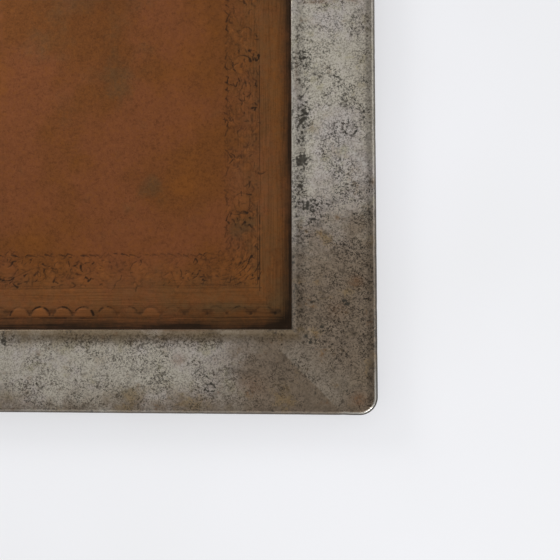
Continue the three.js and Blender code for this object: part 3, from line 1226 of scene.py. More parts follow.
class Chaser:
    """Works the copper: keeps its relief, its grime and painted shade, and its rubbed places, and cuts
    strokes and raises bosses.
    """

    def __init__(self, x: np.ndarray, y: np.ndarray, turn: Point) -> None:
        """Starts on a smooth sheet.

        Args:
            x: The sheet's points along the tray, in millimetres, in rising order.
            y: The same points across the tray.
            turn: Where the border turns its corner, in one quarter of the sheet.
        """
        self.turn = turn
        self.x, self.y = x, y
        self.relief, self.cut, self.dirt_and_shade, self.rub = np.zeros((4, len(x)))
        self.clusters = Unevenness(Seed.FILTH)

    def filth(self, points: np.ndarray) -> float:
        """How much grime a stroke keeps where it lies: plenty in some stretches, little in others.

        Args:
            points: The stroke's points.

        Returns:
            A share, from 0.55 to 2.2.
        """
        x, y = points.mean(axis=0)
        cloud = float(self.clusters.at(x, y, 15.0)) * 0.7 + float(self.clusters.at(y, x, 38.0)) * 0.6
        near_turn = math.hypot(abs(x) - self.turn[0], abs(y) - self.turn[1]) / 26
        return min(max(1.15 + 1.0 * cloud + 0.9 * math.exp(-(near_turn**2)), 0.55), 2.2)

    def near(self, points: np.ndarray, margin: float) -> np.ndarray:
        """The sheet's points around a stroke, as indices."""
        (x0, y0), (x1, y1) = points.min(axis=0) - margin, points.max(axis=0) + margin
        low, high = np.searchsorted(self.x, [x0, x1])
        rows = self.y[low:high]
        return low + np.nonzero((rows >= y0) & (rows <= y1))[0]

    def stroke(
        self, points: Sequence[Point], width: float, depth: float, dirt_and_shade: float = 1.0, taper: float = 0.0
    ) -> None:
        """Cuts a groove along a line.

        Args:
            points: The line's points, in millimetres.
            width: The groove's full width.
            depth: How deep it is in the middle.
            dirt_and_shade: How dark it is filled.
            taper: How much narrower it gets towards its end, from 0 to 1.
        """
        line = np.asarray(points, float)
        found = self.near(line, width)
        if not len(found):
            return
        x, y = self.x[found], self.y[found]
        share = np.zeros(len(found))
        count = len(line) - 1
        for i in range(count):
            (ax, ay), (bx, by) = line[i], line[i + 1]
            dx, dy = bx - ax, by - ay
            t = np.clip(((x - ax) * dx + (y - ay) * dy) / max(dx * dx + dy * dy, 1e-9), 0, 1)
            away = np.hypot(x - ax - t * dx, y - ay - t * dy)
            half = width / 2 * (1 - taper * (i + t) / count)
            share = np.maximum(share, np.clip(1 - (away / np.maximum(half, 0.05)) ** 2, 0, 1))
        self.cut[found] = np.maximum(self.cut[found], depth * share)
        self.dirt_and_shade[found] = np.maximum(self.dirt_and_shade[found], dirt_and_shade * self.filth(line) * np.sqrt(share))

    def boss(self, place: Point, radius: float, height: float, rub: float) -> None:
        """Raises a round boss, or sinks a dot if height is below zero.

        Args:
            place: Its place on the tray.
            radius: Its radius.
            height: How high it stands.
            rub: How bright it is worn, or how dark it is filled if below zero.
        """
        found = self.near(np.array([place]), radius)
        away = np.hypot(self.x[found] - place[0], self.y[found] - place[1]) / radius
        share = np.clip(1 - away**2, 0, 1)
        self.relief[found] += height * share
        if rub > 0:
            self.rub[found] = np.maximum(self.rub[found], rub * share)
        else:
            self.dirt_and_shade[found] = np.maximum(self.dirt_and_shade[found], -rub * np.sqrt(share))


@dataclass
class Border:
    """One side's chased border. Places on it are (along the side, in from the opening), in millimetres."""

    sheet: Chaser
    draw: np.random.Generator
    side: Side
    half: float
    reach: float
    start: float
    other: float
    width: float = 32.0
    repeat: float = 62.0
    wave: float = 5.2
    moon_pitch: float = 20.5
    moon_radius: float = 8.6
    ridge: float = 10.8

    def at(self, s: float, t: float) -> Point:
        """Where a place on the border lies on the tray."""
        x, y = self.side.turn(np.array(s), np.array(t - self.reach))
        return float(x), float(y)

    def cut(self, line: Iterable[Point], width: float, depth: float, dirt_and_shade: float, taper: float = 0.0) -> None:
        """Cuts a stroke that is given in places on the border."""
        self.sheet.stroke([self.at(*place) for place in line], width, depth, dirt_and_shade, taper)

    def rules(self) -> None:
        """Draws the long lines beside and within the band, in unsteady pieces."""
        draw, crisp = self.draw, 0.3 if self.start > self.other else 0.6
        for t, short, width, depth, dirt_and_shade in (
            (self.start, self.other - 5 * crisp, 0.9, 0.22, crisp),
            (self.start + 2.2, self.other + 3, 0.6, 0.10, 0.35),
            (self.start + self.width - 2.5, self.other + self.width, 0.6, 0.10, 0.4),
        ):
            end = self.half - short
            s = -end
            while s < end:
                reach = min(s + draw.uniform(25, 70), end)
                wander = draw.normal(0, 0.22, 9).cumsum() * 0.4
                line = zip(np.linspace(s, reach, 9), t + wander)
                self.cut(line, width * draw.uniform(0.8, 1.2), depth, dirt_and_shade * draw.uniform(0.3, 1.0))
                s = reach + draw.uniform(0, 3)

    def vine(self) -> None:
        """Chases the vine: a wavy stem with curls, leaves and rosettes, under a row of leaf tips."""
        draw = self.draw
        length = self.half - self.other - self.width
        waves = round(2 * length / self.repeat)
        pitch = 2 * length / waves
        middle = self.start + self.width * 0.44
        along = np.linspace(-length, length, waves * 22)
        stem = middle + self.wave * np.sin(2 * math.pi * (along + length) / pitch)
        for i in range(len(along) - 1):
            if draw.random() < 0.80:
                self.cut(zip(along[i : i + 2], stem[i : i + 2]), 0.9, 0.20, draw.uniform(0.05, 0.55))
        for i in range(2 * waves):
            s = -length + (i + 0.5) * pitch / 2 + draw.normal(0, 1.2)
            up = 1 if i % 2 else -1
            if i % 4 == 1:
                self.rosette(s, middle + up * 2.0)
            else:
                self.curl(s, middle + up * 2.0, up)
            for _ in range(13):
                self.leaf(s + draw.normal(0, 11), middle + draw.uniform(-13, 13))
        self.tips(length + 4)

    def tips(self, end: float) -> None:
        """Cuts the row of leaf tips along the band's inner side.

        Args:
            end: Where the row stops, on both sides of the middle.
        """
        draw = self.draw
        s = -end
        while s < end:
            step = draw.uniform(5, 9)
            t = self.start + self.width - 1.0 + draw.normal(0, 0.6)
            lean = draw.uniform(1.5, 4.5)
            if draw.random() < 0.72:
                tip = [(s, t), (s + step * 0.45, t - lean * 0.3), (s + step, t - lean)]
                self.cut(tip, draw.uniform(1.0, 2.4), 0.30, draw.uniform(0.4, 1.0), 0.8)
            if draw.random() < 0.45:
                back = [(s + step, t + 0.5), (s + step * 0.6, t - lean * 0.8)]
                self.cut(back, draw.uniform(1.0, 2.0), 0.28, draw.uniform(0.5, 1.0), 0.7)
            s += step

    def rosette(self, s: float, t: float) -> None:
        """Raises a worn rosette with a broken ring around it.

        Args:
            s: How far along the side it lies.
            t: How far in from the opening it lies.
        """
        draw, middle = self.draw, self.at(s, t)
        self.sheet.boss(middle, 8.5, 0.30, 0.40)
        self.sheet.boss(middle, 1.4, -0.2, -0.3)
        for turn in range(0, 360, 36):
            if draw.random() < 0.75:
                ring = arc((s, t), 8.8, turn, turn + 33, 4)
                self.cut(ring, draw.uniform(0.8, 1.5), 0.22, draw.uniform(0.1, 0.75))

    def curl(self, s: float, t: float, up: int) -> None:
        """Cuts a spiral curl of the vine.

        Args:
            s: How far along the side it lies.
            t: How far in from the opening it lies.
            up: Which way it winds, 1 or -1.
        """
        draw = self.draw
        size = draw.uniform(5.0, 7.0)
        angles = np.radians(np.linspace(-40, 400, 24)) * up
        radii = np.linspace(1.0, 0.25, 24) * size
        spiral = [(s + r * math.cos(a), t + r * math.sin(a)) for a, r in zip(angles, radii)]
        for i in range(0, 23, 3):
            if draw.random() < 0.82:
                self.cut(spiral[i : i + 4], draw.uniform(0.8, 1.4), 0.22, draw.uniform(0.1, 0.7))
        self.sheet.boss(self.at(s, t), size * 0.8, 0.16, 0.25)

    def leaf(self, s: float, t: float) -> None:
        """Cuts one comma-shaped leaf, sometimes with a boss beside it.

        Args:
            s: How far along the side it lies.
            t: How far in from the opening it lies.
        """
        draw = self.draw
        angle = draw.uniform(0, 2 * math.pi)
        length = draw.uniform(2.4, 6.5)
        bend = draw.uniform(-0.8, 0.8)
        shares = np.linspace(0, 1, 5)
        xs = s + length * shares * np.cos(angle + bend * shares)
        ys = t + length * shares * np.sin(angle + bend * shares)
        self.cut(zip(xs, ys), draw.uniform(1.0, 2.6), 0.40, 0.30 + 0.9 * draw.random() ** 1.5, 0.75)
        if draw.random() < 0.5:
            x, y = self.at(xs[2], ys[2])
            beside = (x + draw.normal(0, 2), y + draw.normal(0, 2))
            self.sheet.boss(beside, draw.uniform(2.0, 4.0), 0.2, 0.5)

    def moons(self) -> None:
        """Punches the row of half-moons and dots, and the ridge that it stands on."""
        draw = self.draw
        count = int((self.half - 24) // self.moon_pitch)
        for k in range(-count, count + 1):
            s = k * self.moon_pitch + draw.normal(0, 0.6)
            worn = draw.uniform(0.15, 1.0) * (0.25 if abs(k) > count - 5 else 1.0)
            self.moon(s, worn)
            s += self.moon_pitch / 2
            if draw.random() < 0.75:
                dark = draw.uniform(0.4, 1.0) * (1.0 if abs(k) > count - 4 else 0.5)
                self.sheet.boss(self.at(s, self.ridge + 3.2), 1.7, -0.45, -dark)
            if draw.random() < 0.7:
                self.cut([(s - 3, self.ridge + 5), (s + 3, self.ridge + 5)], 5.0, 0.12, 0.22)
        along = np.linspace(-self.half + 8, self.half - 8, 60)
        for first, last in zip(along, along[1:]):
            t = self.ridge - 0.8 + draw.normal(0, 0.15)
            self.cut([(first, t), (last, t)], 1.2, 0.26, draw.uniform(0.15, 0.5))

    def moon(self, s: float, worn: float) -> None:
        """Raises one half-moon and cuts the broken line around it.

        Args:
            s: How far along the side it lies.
            worn: How bright it is rubbed, from 0 to 1.
        """
        sheet, draw = self.sheet, self.draw
        x, y = self.at(s, self.ridge)
        found = sheet.near(np.array([(x, y)]), self.moon_radius + 2)
        across = np.hypot(sheet.x[found] - x, sheet.y[found] - y)
        ahead_x, ahead_y = self.at(s, self.ridge + 1)
        inward = (sheet.x[found] - x) * (ahead_x - x) + (sheet.y[found] - y) * (ahead_y - y)
        within = np.clip((self.moon_radius - across) / 1.4, 0, 1) * np.clip(inward / 1.2, 0, 1)
        sheet.relief[found] += 0.34 * within * worn
        sheet.rub[found] = np.maximum(sheet.rub[found], 0.8 * within * worn**2)
        for turn in range(12, 168, 26):
            rim = arc((s, self.ridge), self.moon_radius + 0.8, turn, turn + 26, 3)
            if draw.random() < 0.7:
                self.cut(rim, draw.uniform(0.9, 2.2), 0.26, draw.uniform(0.1, 0.8) * (0.4 + 0.6 * worn))


@dataclass
class CopperTray:
    """One sheet of copper: a planished floor, a chased border, and a cove that goes in under the rails."""

    half_length: float
    half_depth: float
    opening_x: float
    opening_y: float
    flange_top: float
    underside: float
    thickness: float = 1.2 * MM
    rim_under_rail: float = 4 * MM
    cove_width: float = 12 * MM
    cove_height: float = 6 * MM
    rim_radius: float = 14 * MM
    block: float = 2.1 * MM
    fine: int = 3
    crease: float = 75.0
    worked_width: float = 78 * MM
    band_side: float = 29.0
    band_front: float = 37.0
    band_width: float = 32.0
    hatches: int = 2600
    turn_middle: float = 18.0
    hammer_pitch: float = 13.0
    hammer_depth: float = 0.27
    # How dark the cove is painted, by distance in from the opening's edge: grime and painted shade.
    grime_and_shade_places: Sequence[float] = (0.0, 1.5, 4.0, 5.5, 7.5, 9.5, 11.5, 14.0, 22.0)
    grime_and_shade_front: Sequence[float] = (1.0, 0.88, 0.70, 0.52, 0.36, 0.16, 0.14, 0.13, 0.0)
    grime_and_shade_side: Sequence[float] = (1.0, 0.90, 0.56, 0.42, 0.20, 0.10, 0.0, 0.0, 0.0)
    patches: Sequence[Mark] = marks(
        (92, 250, 24, 70, 0.32), (101, 128, 11, 8, 0.8), (96, 145, 20, 14, 0.25), (36, 44, 16, 14, 0.6),
        (9, 24, 12, 34, -0.8), (45, 70, 12, 18, 0.35), (14, 200, 6, 130, 0.5), (130, 128, 16, 12, -0.45),
        (165, 235, 14, 30, -0.35), (45, 90, 16, 12, -0.6), (105, 278, 12, 10, -0.4),
        (60, 20, 60, 4, -0.7), (182, 40, 30, 30, 0.3), (185, 325, 60, 60, -0.40),
    )
    far_patches: int = 30
    far_from_right: float = 225.0

    @property
    def blocks(self) -> tuple[int, int]:
        """How many blocks the sheet has along and across."""
        return round(2 * self.half_length / self.block), round(2 * self.half_depth / self.block)

    def lattice(self) -> tuple[np.ndarray, np.ndarray, list[np.ndarray], np.ndarray]:
        """Lays out the sheet's plan: fine cells where it is worked and visible, coarse ones elsewhere.

        Returns:
            The points' x and y in metres, the faces over them, and which points are block corners.
        """
        step = self.fine
        fx, fy = (count * step for count in self.blocks)
        x = np.linspace(-self.half_length, self.half_length, fx + 1)
        y = np.linspace(-self.half_depth, self.half_depth, fy + 1)
        mid_x = np.abs((x[:-1:step] + x[step::step]) / 2)[:, None]
        mid_y = np.abs((y[:-1:step] + y[step::step]) / 2)[None, :]
        seen = (mid_x < self.opening_x) & (mid_y < self.opening_y)
        worked = (mid_x > self.opening_x - self.worked_width) | (mid_y > self.opening_y - self.worked_width)
        fine = seen & worked
        spread = np.kron(fine, np.ones((step, step), bool))
        corner = np.zeros((fx + 1, fy + 1), bool)
        corner[::step, ::step] = True
        used = corner.copy()
        for i in (0, 1):
            for j in (0, 1):
                used[i : i + fx, j : j + fy] |= spread
        index = np.full(used.shape, -1)
        index[used] = np.arange(used.sum())
        i, j = np.nonzero(spread)
        cells = np.stack([index[i, j], index[i + 1, j], index[i + 1, j + 1], index[i, j + 1]], axis=-1)
        grid_x, grid_y = np.meshgrid(x, y, indexing="ij")
        return grid_x[used], grid_y[used], [cells, *self._coarse(index, used, fine)], corner[used]

    def _coarse(self, index: np.ndarray, used: np.ndarray, fine: np.ndarray) -> list[np.ndarray]:
        """The coarse faces, with more corners where they meet fine cells.

        Args:
            index: The points' numbers on the fine grid, or -1 where there is none.
            used: Which of the grid's points are kept.
            fine: Which blocks are fine.

        Returns:
            Arrays of faces, one array for each number of corners.
        """
        step = self.fine
        padded = np.pad(fine, 1)
        beside = padded[:-2, 1:-1] | padded[2:, 1:-1] | padded[1:-1, :-2] | padded[1:-1, 2:]
        i, j = (places * step for places in np.nonzero(~fine & ~beside))
        plain = [index[i, j], index[i + step, j], index[i + step, j + step], index[i, j + step]]
        around = [(k, 0) for k in range(step)] + [(step, k) for k in range(step)]
        around += [(step - i, step - j) for i, j in around]
        groups: dict[int, list[list[int]]] = {}
        for a, b in zip(*np.nonzero(~fine & beside)):
            places = [(a * step + di, b * step + dj) for di, dj in around]
            loop = [int(index[p]) for p in places if used[p]]
            groups.setdefault(len(loop), []).append(loop)
        return [np.stack(plain, axis=-1)] + [np.array(group) for group in groups.values()]

    def inside_rim(self, x: np.ndarray, y: np.ndarray) -> np.ndarray:
        """How far each place lies inside the pan's rim, in metres; below zero on the flange.

        Args:
            x: Places along the tray.
            y: Places across it.

        Returns:
            The distances.
        """
        dx = np.abs(x) - (self.opening_x + self.rim_under_rail - self.rim_radius)
        dy = np.abs(y) - (self.opening_y + self.rim_under_rail - self.rim_radius)
        outside = np.hypot(np.maximum(dx, 0), np.maximum(dy, 0))
        return self.rim_radius - outside - np.minimum(np.maximum(dx, dy), 0)

    def drawn(self, x: np.ndarray, y: np.ndarray) -> np.ndarray:
        """The smooth pan's height: flange, cove and floor.

        Args:
            x: Places along the tray.
            y: Places across it.

        Returns:
            Heights, in metres.
        """
        inside = self.inside_rim(x, y)
        share = np.clip(1 - np.maximum(inside, 0) / self.cove_width, 0, 1)
        height = self.underside + self.thickness + self.cove_height * (1 - np.sqrt(1 - share**2))
        return np.where(inside > 0, height, self.flange_top)

    def planish(self, sheet: Chaser) -> None:
        """Beats shallow overlapping hammer marks into the floor, and lets it sag a little here and there.

        Args:
            sheet: The sheet to work.
        """
        draw = np.random.default_rng(Seed.HAMMER)
        offsets = draw.uniform(-0.42, 0.42, (128, 128, 2))
        widths = draw.uniform(0.75, 1.15, (128, 128))
        u, v = sheet.x / self.hammer_pitch, sheet.y / self.hammer_pitch
        i, j = np.floor(u).astype(int), np.floor(v).astype(int)
        nearest = np.ones(len(u))
        for di in (-1, 0, 1):
            for dj in (-1, 0, 1):
                a, b = (i + di) & 127, (j + dj) & 127
                du = i + di + 0.5 + offsets[a, b, 0] - u
                dv = j + dj + 0.5 + offsets[a, b, 1] - v
                nearest = np.minimum(nearest, (du * du + dv * dv) / (0.9 * widths[a, b]) ** 2)
        sheet.relief += self.hammer_depth * (nearest - 1)
        loose = Unevenness(Seed.LOOSE)
        sheet.relief += 0.32 * loose.at(sheet.x, sheet.y, 120.0) + 0.10 * loose.at(sheet.x, sheet.y, 38.0)

    def chase(self, sheet: Chaser) -> None:
        """Chases the border on all four sides and the turns between them.

        Args:
            sheet: The sheet to work.
        """
        draw = np.random.default_rng(Seed.CHASING)
        borders = []
        for side in Side:
            half, reach = side.pair(self.opening_x / MM, self.opening_y / MM)
            start, other = side.pair(self.band_front, self.band_side)
            borders.append(Border(sheet, draw, side, half, reach, start, other, self.band_width))
        for border in borders:
            border.rules()
            border.vine()
            if border.side.long:
                border.moons()
        for sx in (-1, 1):
            for sy in (-1, 1):
                self.turn_band(sheet, draw, sx, sy)
        for _ in range(self.hatches):
            border = borders[int(draw.integers(4))]
            s = draw.uniform(border.other - border.half, border.half - border.other)
            t = border.start + draw.uniform(1.0, border.width)
            angle, length = draw.normal(0.35, 0.5), draw.uniform(1.5, 4.5)
            hatch = [(s, t), (s + length * math.cos(angle), t + length * math.sin(angle))]
            border.cut(hatch, draw.uniform(0.8, 1.5), 0.26, 0.1 + draw.random() ** 2 * 0.9, 0.4)

    def turn_band(self, sheet: Chaser, draw: np.random.Generator, sx: int, sy: int) -> None:
        """Fills one corner of the band with arcs that carry it round.

        Args:
            sheet: The sheet to work.
            draw: Where the unsteadiness comes from.
            sx: Which end, -1 or 1.
            sy: Front or back, -1 or 1.
        """
        cx = self.opening_x / MM - self.band_side - self.band_width - 2
        cy = self.opening_y / MM - self.band_front - self.band_width - 2
        for radius in np.arange(7.0, 37.0, 1.9):
            a = draw.uniform(-6, 8)
            while a < 88:
                b = a + draw.uniform(7, 20)
                if draw.random() < 0.72:
                    bow = arc((cx, cy), radius + draw.normal(0, 0.5), a, min(b, 92), 4)
                    bow = [(sx * x, sy * y) for x, y in bow]
                    sheet.stroke(bow, draw.uniform(0.8, 1.6), 0.34, 0.2 + draw.random() ** 1.5, 0.5)
                a = b + draw.uniform(1, 5)
        for _ in range(16):
            radius, angle = draw.uniform(12, 36), math.radians(draw.uniform(0, 90))
            place = (sx * (cx + radius * math.cos(angle)), sy * (cy + radius * math.sin(angle)))
            sheet.boss(place, draw.uniform(2.0, 4.0), 0.18, 0.5)

    def mat_ground(self, sheet: Chaser) -> None:
        """Darkens and stipples the band's ground unevenly, and darkens the cove under the rails, more along
        the front and most in the corners: partly grime, partly painted shade.

        Args:
            sheet: The sheet to work.
        """
        from_side = self.opening_x / MM - np.abs(sheet.x)
        from_front = self.opening_y / MM - np.abs(sheet.y)
        inward = np.minimum(from_side - self.band_side, from_front - self.band_front)
        cloud = Unevenness(Seed.GRIME)
        loose = inward + 4.0 * cloud.at(sheet.x, sheet.y, 9.0)
        band = np.clip(inward / 1.5, 0, 1) * np.clip((self.band_width + 1 - loose) / 7, 0, 1)
        dusky = np.clip(0.5 + cloud.at(sheet.x, sheet.y, 16.0), 0, 1)
        stipple = np.clip(cloud.at(sheet.x, sheet.y, 1.7) - 0.1, 0, 1)
        sheet.dirt_and_shade = np.maximum(sheet.dirt_and_shade, band * (0.09 * dusky**2 + 0.6 * stipple * dusky))
        sheet.cut = np.maximum(sheet.cut, 0.14 * stipple * band)
        patchy = np.clip(1.0 + 0.3 * cloud.at(sheet.x, sheet.y, 30.0), 0, 1.2)
        # Painted shade with grime: darker towards the rails, deeper along the front than the sides, darkest
        # in the corners under the rails.
        front = np.interp(from_front, self.grime_and_shade_places, self.grime_and_shade_front)
        side = np.interp(from_side, self.grime_and_shade_places, self.grime_and_shade_side)
        corner = np.clip(1 - np.hypot(from_side, from_front) / 26, 0, 1)
        sheet.dirt_and_shade = np.clip(sheet.dirt_and_shade + np.maximum(front, side) * patchy + corner * 0.7, 0, 1)

    def warmth(self, x: np.ndarray, y: np.ndarray) -> np.ndarray:
        """How warm the patina is at places given in millimetres, from about -1 to 1.

        Args:
            x: Places along the tray.
            y: Places across it.

        Returns:
            The warmth at each place.
        """
        draw = np.random.default_rng(Seed.PATINA)
        patches = list(self.patches)
        for _ in range(self.far_patches):
            right = draw.uniform(self.far_from_right, 2 * self.opening_x / MM)
            front = draw.uniform(0, 2 * self.opening_y / MM)
            size = (draw.uniform(12, 60), draw.uniform(12, 60))
            patches.append(Mark(right, front, *size, draw.uniform(-0.6, 0.7)))
        places = self.opening_x / MM - x, self.opening_y / MM + y
        return 1.6 * np.sum([patch.over(*places) for patch in patches], axis=0)

    def build(self) -> Node:
        """Makes and dresses the tray.

        Returns:
            The tray.
        """
        x, y, faces, corner = self.lattice()
        inner_x, inner_y = self.opening_x / MM - self.band_side, self.opening_y / MM - self.band_front
        sheet = Chaser(x / MM, y / MM, (inner_x - self.turn_middle, inner_y - self.turn_middle))
        self.planish(sheet)
        self.chase(sheet)
        self.mat_ground(sheet)
        flat = np.clip((self.inside_rim(x, y) - self.rim_under_rail - 1 * MM) / (6 * MM), 0, 1)
        relief = sheet.relief * flat - sheet.cut * np.clip(flat * 2, 0, 1)
        top = np.column_stack([x, y, self.drawn(x, y) + relief * MM])
        below = np.column_stack([x[corner], y[corner], self.drawn(x[corner], y[corner]) - self.thickness])
        nx, ny = self.blocks
        faces.append(wrap_faces(nx + 1, ny + 1, False, False)[:, ::-1] + len(x))
        faces.append(self._rim_faces(np.nonzero(corner)[0], len(x)))
        values = {"dirt_and_shade": sheet.dirt_and_shade, "rub": sheet.rub, "warmth": self.warmth(sheet.x, sheet.y)}
        painted = {name: np.concatenate([value, np.zeros(len(below))]) for name, value in values.items()}
        made = make_mesh("chased_copper_tray", np.concatenate([top, below]), faces, painted, self.crease)
        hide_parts("copper_tray")
        return place_piece(made, PatinatedCopper(self.opening_x, self.opening_y).material())

    def _rim_faces(self, corners: np.ndarray, count: int) -> np.ndarray:
        """The sheet's outer edge: quads from its top face's border down to its underside's.

        Args:
            corners: The numbers of the top face's block corners.
            count: How many points the top face has.

        Returns:
            The quads.
        """
        nx, ny = self.blocks
        index = np.arange((nx + 1) * (ny + 1)).reshape(nx + 1, ny + 1)
        loop = np.concatenate([index[:-1, 0], index[-1, :-1], index[:0:-1, -1], index[0, :0:-1]])
        ahead = np.roll(loop, -1)
        return np.stack([corners[ahead], corners[loop], loop + count, ahead + count], axis=-1)


# ---------------------------------------------------------------------------------------------------------
# What lies beneath
# ---------------------------------------------------------------------------------------------------------


def dress_node(node: Node, material: bpy.types.Material, arris: float) -> Node:
    """Gives a frame node a finish and soft arrises.

    Args:
        node: The node's object.
        material: Its finish.
        arris: The width of the softened edges.

    Returns:
        The same node.
    """
    for slot in node.material_slots:
        slot.material = material
    soft = node.modifiers.new("soft_arris", "BEVEL")
    soft.width = arris
    soft.segments = 2
    soft.limit_method = "ANGLE"
    soft.angle_limit = math.radians(50)
    soft.harden_normals = True
    return node


@dataclass(frozen=True)
class Stand:
    """Where a round, upright node stands, and how big it is."""

    foot: tuple[float, float, float]
    radius: float
    height: float

    @classmethod
    def of(cls, node: str) -> Stand:
        """Reads a frame node's box.

        Args:
            node: The node's name.

        Returns:
            Its foot, radius and height.
        """
        low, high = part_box(node)
        foot = ((low[0] + high[0]) / 2, (low[1] + high[1]) / 2, low[2])
        return cls(foot, (high[0] - low[0]) / 2, high[2] - low[2])


@dataclass
class Underframe:
    """The plywood board and the four packing strips."""

    nodes: dict[str, Node]
    arris: float = 0.35 * MM

    def build(self) -> list[Node]:
        """Dresses the board and the strips.

        Returns:
            The board and the strips.
        """
        low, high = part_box("backing_board")
        plywood, wood = Plywood(low[2], high[2]).material(), SawnWood().material()
        strips = [dress_node(self.nodes[f"packing_strip_{side.label}"], wood, self.arris) for side in Side]
        return [dress_node(self.nodes["backing_board"], plywood, self.arris), *strips]


@dataclass(frozen=True)
class ScrewSize:
    """A screw's head and shank radii, the height of its head, and how far the head's edge curves."""

    head_radius: float
    shank_radius: float
    head: float
    dome: float


class Screw(Enum):
    """The two kinds of screw."""

    MACHINE = ScrewSize(4.7 * MM, 2.45 * MM, 3.2 * MM, 1.8 * MM)
    WOOD = ScrewSize(3.95 * MM, 1.95 * MM, 2.4 * MM, 0.9 * MM)


@dataclass
class Fixings:
    """Machine screws with hexagon sockets, their washers, and the wood screws of the feet."""

    nodes: dict[str, Node]
    sides: int = 48
    thread_pitch: float = 0.8 * MM
    root_share: float = 0.82
    point: float = 1.4 * MM
    socket_width: float = 3.4 * MM
    socket_depth: float = 1.6 * MM
    washer_hole: float = 2.8 * MM
    washer_edge: float = 0.25 * MM

    def screw(self, node: str, name: str, kind: Screw) -> Node:
        """Makes a screw that points up, with a threaded shank.

        Args:
            node: The frame node that it stands for.
            name: Its own name.
            kind: Which screw it is.

        Returns:
            The screw.
        """
        size, stand = kind.value, Stand.of(node)
        across = self.socket_width / math.sqrt(3)
        shank, total = size.shank_radius, stand.height
        profile = [(0, self.socket_depth), (across * 0.96, self.socket_depth), (across, 0.15 * MM)]
        profile += [(across + 0.3 * MM, 0)]
        profile += arc((size.head_radius - size.dome, size.dome), size.dome, 270, 360, 6)
        profile += [(size.head_radius, size.head - 0.1 * MM), (size.head_radius - 0.1 * MM, size.head)]
        profile += [(shank, size.head)]
        height = size.head + self.thread_pitch / 2
        while height < total - self.point:
            profile += [(shank * self.root_share, height), (shank, height + self.thread_pitch / 2)]
            height += self.thread_pitch
        profile += [(shank * 0.8, total - 0.6 * MM), (shank * 0.5, total), (0, total)]
        made = turned(name, profile, stand.foot, self.sides, False)
        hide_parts(node)
        return made

    def washer(self, node: str) -> Node:
        """Makes a flat washer with soft edges in place of a frame node.

        Args:
            node: The frame node's name.

        Returns:
            The washer.
        """
        stand, soft = Stand.of(node), self.washer_edge
        inner, outer, high = self.washer_hole + soft, stand.radius - soft, stand.height - soft
        profile = arc((inner, soft), soft, 180, 270, 3) + arc((outer, soft), soft, 270, 360, 3)
        profile += arc((outer, high), soft, 0, 90, 3) + arc((inner, high), soft, 90, 180, 3)
        made = turned(node.replace("fixing_washer", "plain_washer"), profile, stand.foot, self.sides, True)
        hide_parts(node)
        return made

    def build(self) -> list[Node]:
        """Makes and dresses every screw and washer.

        Returns:
            The screws and washers.
        """
        plating = PlatedSteel().material()
        made = []
        for node in self.nodes:
            if node.startswith("fixing_screw"):
                name = node.replace("fixing_screw", "threaded_screw")
                made.append(self.screw(node, name, Screw.MACHINE))
            elif node.startswith("foot_screw"):
                made.append(self.screw(node, f"threaded_{node}", Screw.WOOD))
            elif node.startswith("fixing_washer"):
                made.append(self.washer(node))
        return [place_piece(piece, plating) for piece in made]


@dataclass
class Feet:
    """Four moulded rubber feet."""

    nodes: dict[str, Node]
    sides: int = 64
    hole_radius: float = 2.3 * MM
    recess_radius: float = 6 * MM
    bottom_radius: float = 12.5 * MM
    web: float = 4 * MM
    edge: float = 1.2 * MM
    soft: float = 0.5 * MM
    groove: float = 0.35 * MM
    groove_shares: Sequence[float] = (0.35, 0.6)

    def foot(self, node: str) -> Node:
        """Makes one foot, with two grooves around it, in place of a frame node.

        Args:
            node: The frame node's name.

        Returns:
            The foot.
        """
        stand, soft, low = Stand.of(node), self.soft, self.bottom_radius
        profile = arc((self.recess_radius + soft, soft), soft, 180, 270, 3)
        profile += arc((low - self.edge, self.edge), self.edge, 270, 355, 5)
        for share in self.groove_shares:
            radius = low + (stand.radius - low) * share
            level = self.edge + (stand.height - self.edge) * share
            profile += [(radius, level - soft), (radius - self.groove, level), (radius, level + soft)]
        profile += arc((stand.radius - soft, stand.height - soft), soft, 5, 90, 3)
        profile += [(self.hole_radius, stand.height), (self.hole_radius, stand.height - self.web)]
        profile += [(self.recess_radius, stand.height - self.web)]
        made = turned(node.replace("foot", "moulded_foot"), profile, stand.foot, self.sides, True)
        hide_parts(node)
        return made

    def build(self) -> list[Node]:
        """Makes and dresses the feet."""
        rubber = FootRubber().material()
        nodes = [name for name in self.nodes if name.startswith("foot_") and "screw" not in name]
        return [place_piece(self.foot(node), rubber) for node in nodes]


# ---------------------------------------------------------------------------------------------------------
# Studio
# ---------------------------------------------------------------------------------------------------------


@dataclass(frozen=True)
class Softbox:
    """A rectangular light: where it stands, what it points at, its width and height, and its watts."""

    name: str
    place: tuple[float, float, float]
    aim: tuple[float, float, float]
    size: Point
    power: float

    def hang(self) -> None:
        """Adds the light."""
        lamp = bpy.data.lights.new(self.name, "AREA")
        lamp.shape = "RECTANGLE"
        lamp.size, lamp.size_y = self.size
        lamp.energy = self.power
        made = bpy.data.objects.new(self.name, lamp)
        made.location = self.place
        made.rotation_euler = (Vector(self.aim) - Vector(self.place)).to_track_quat("-Z", "Y").to_euler()
        bpy.context.scene.collection.objects.link(made)


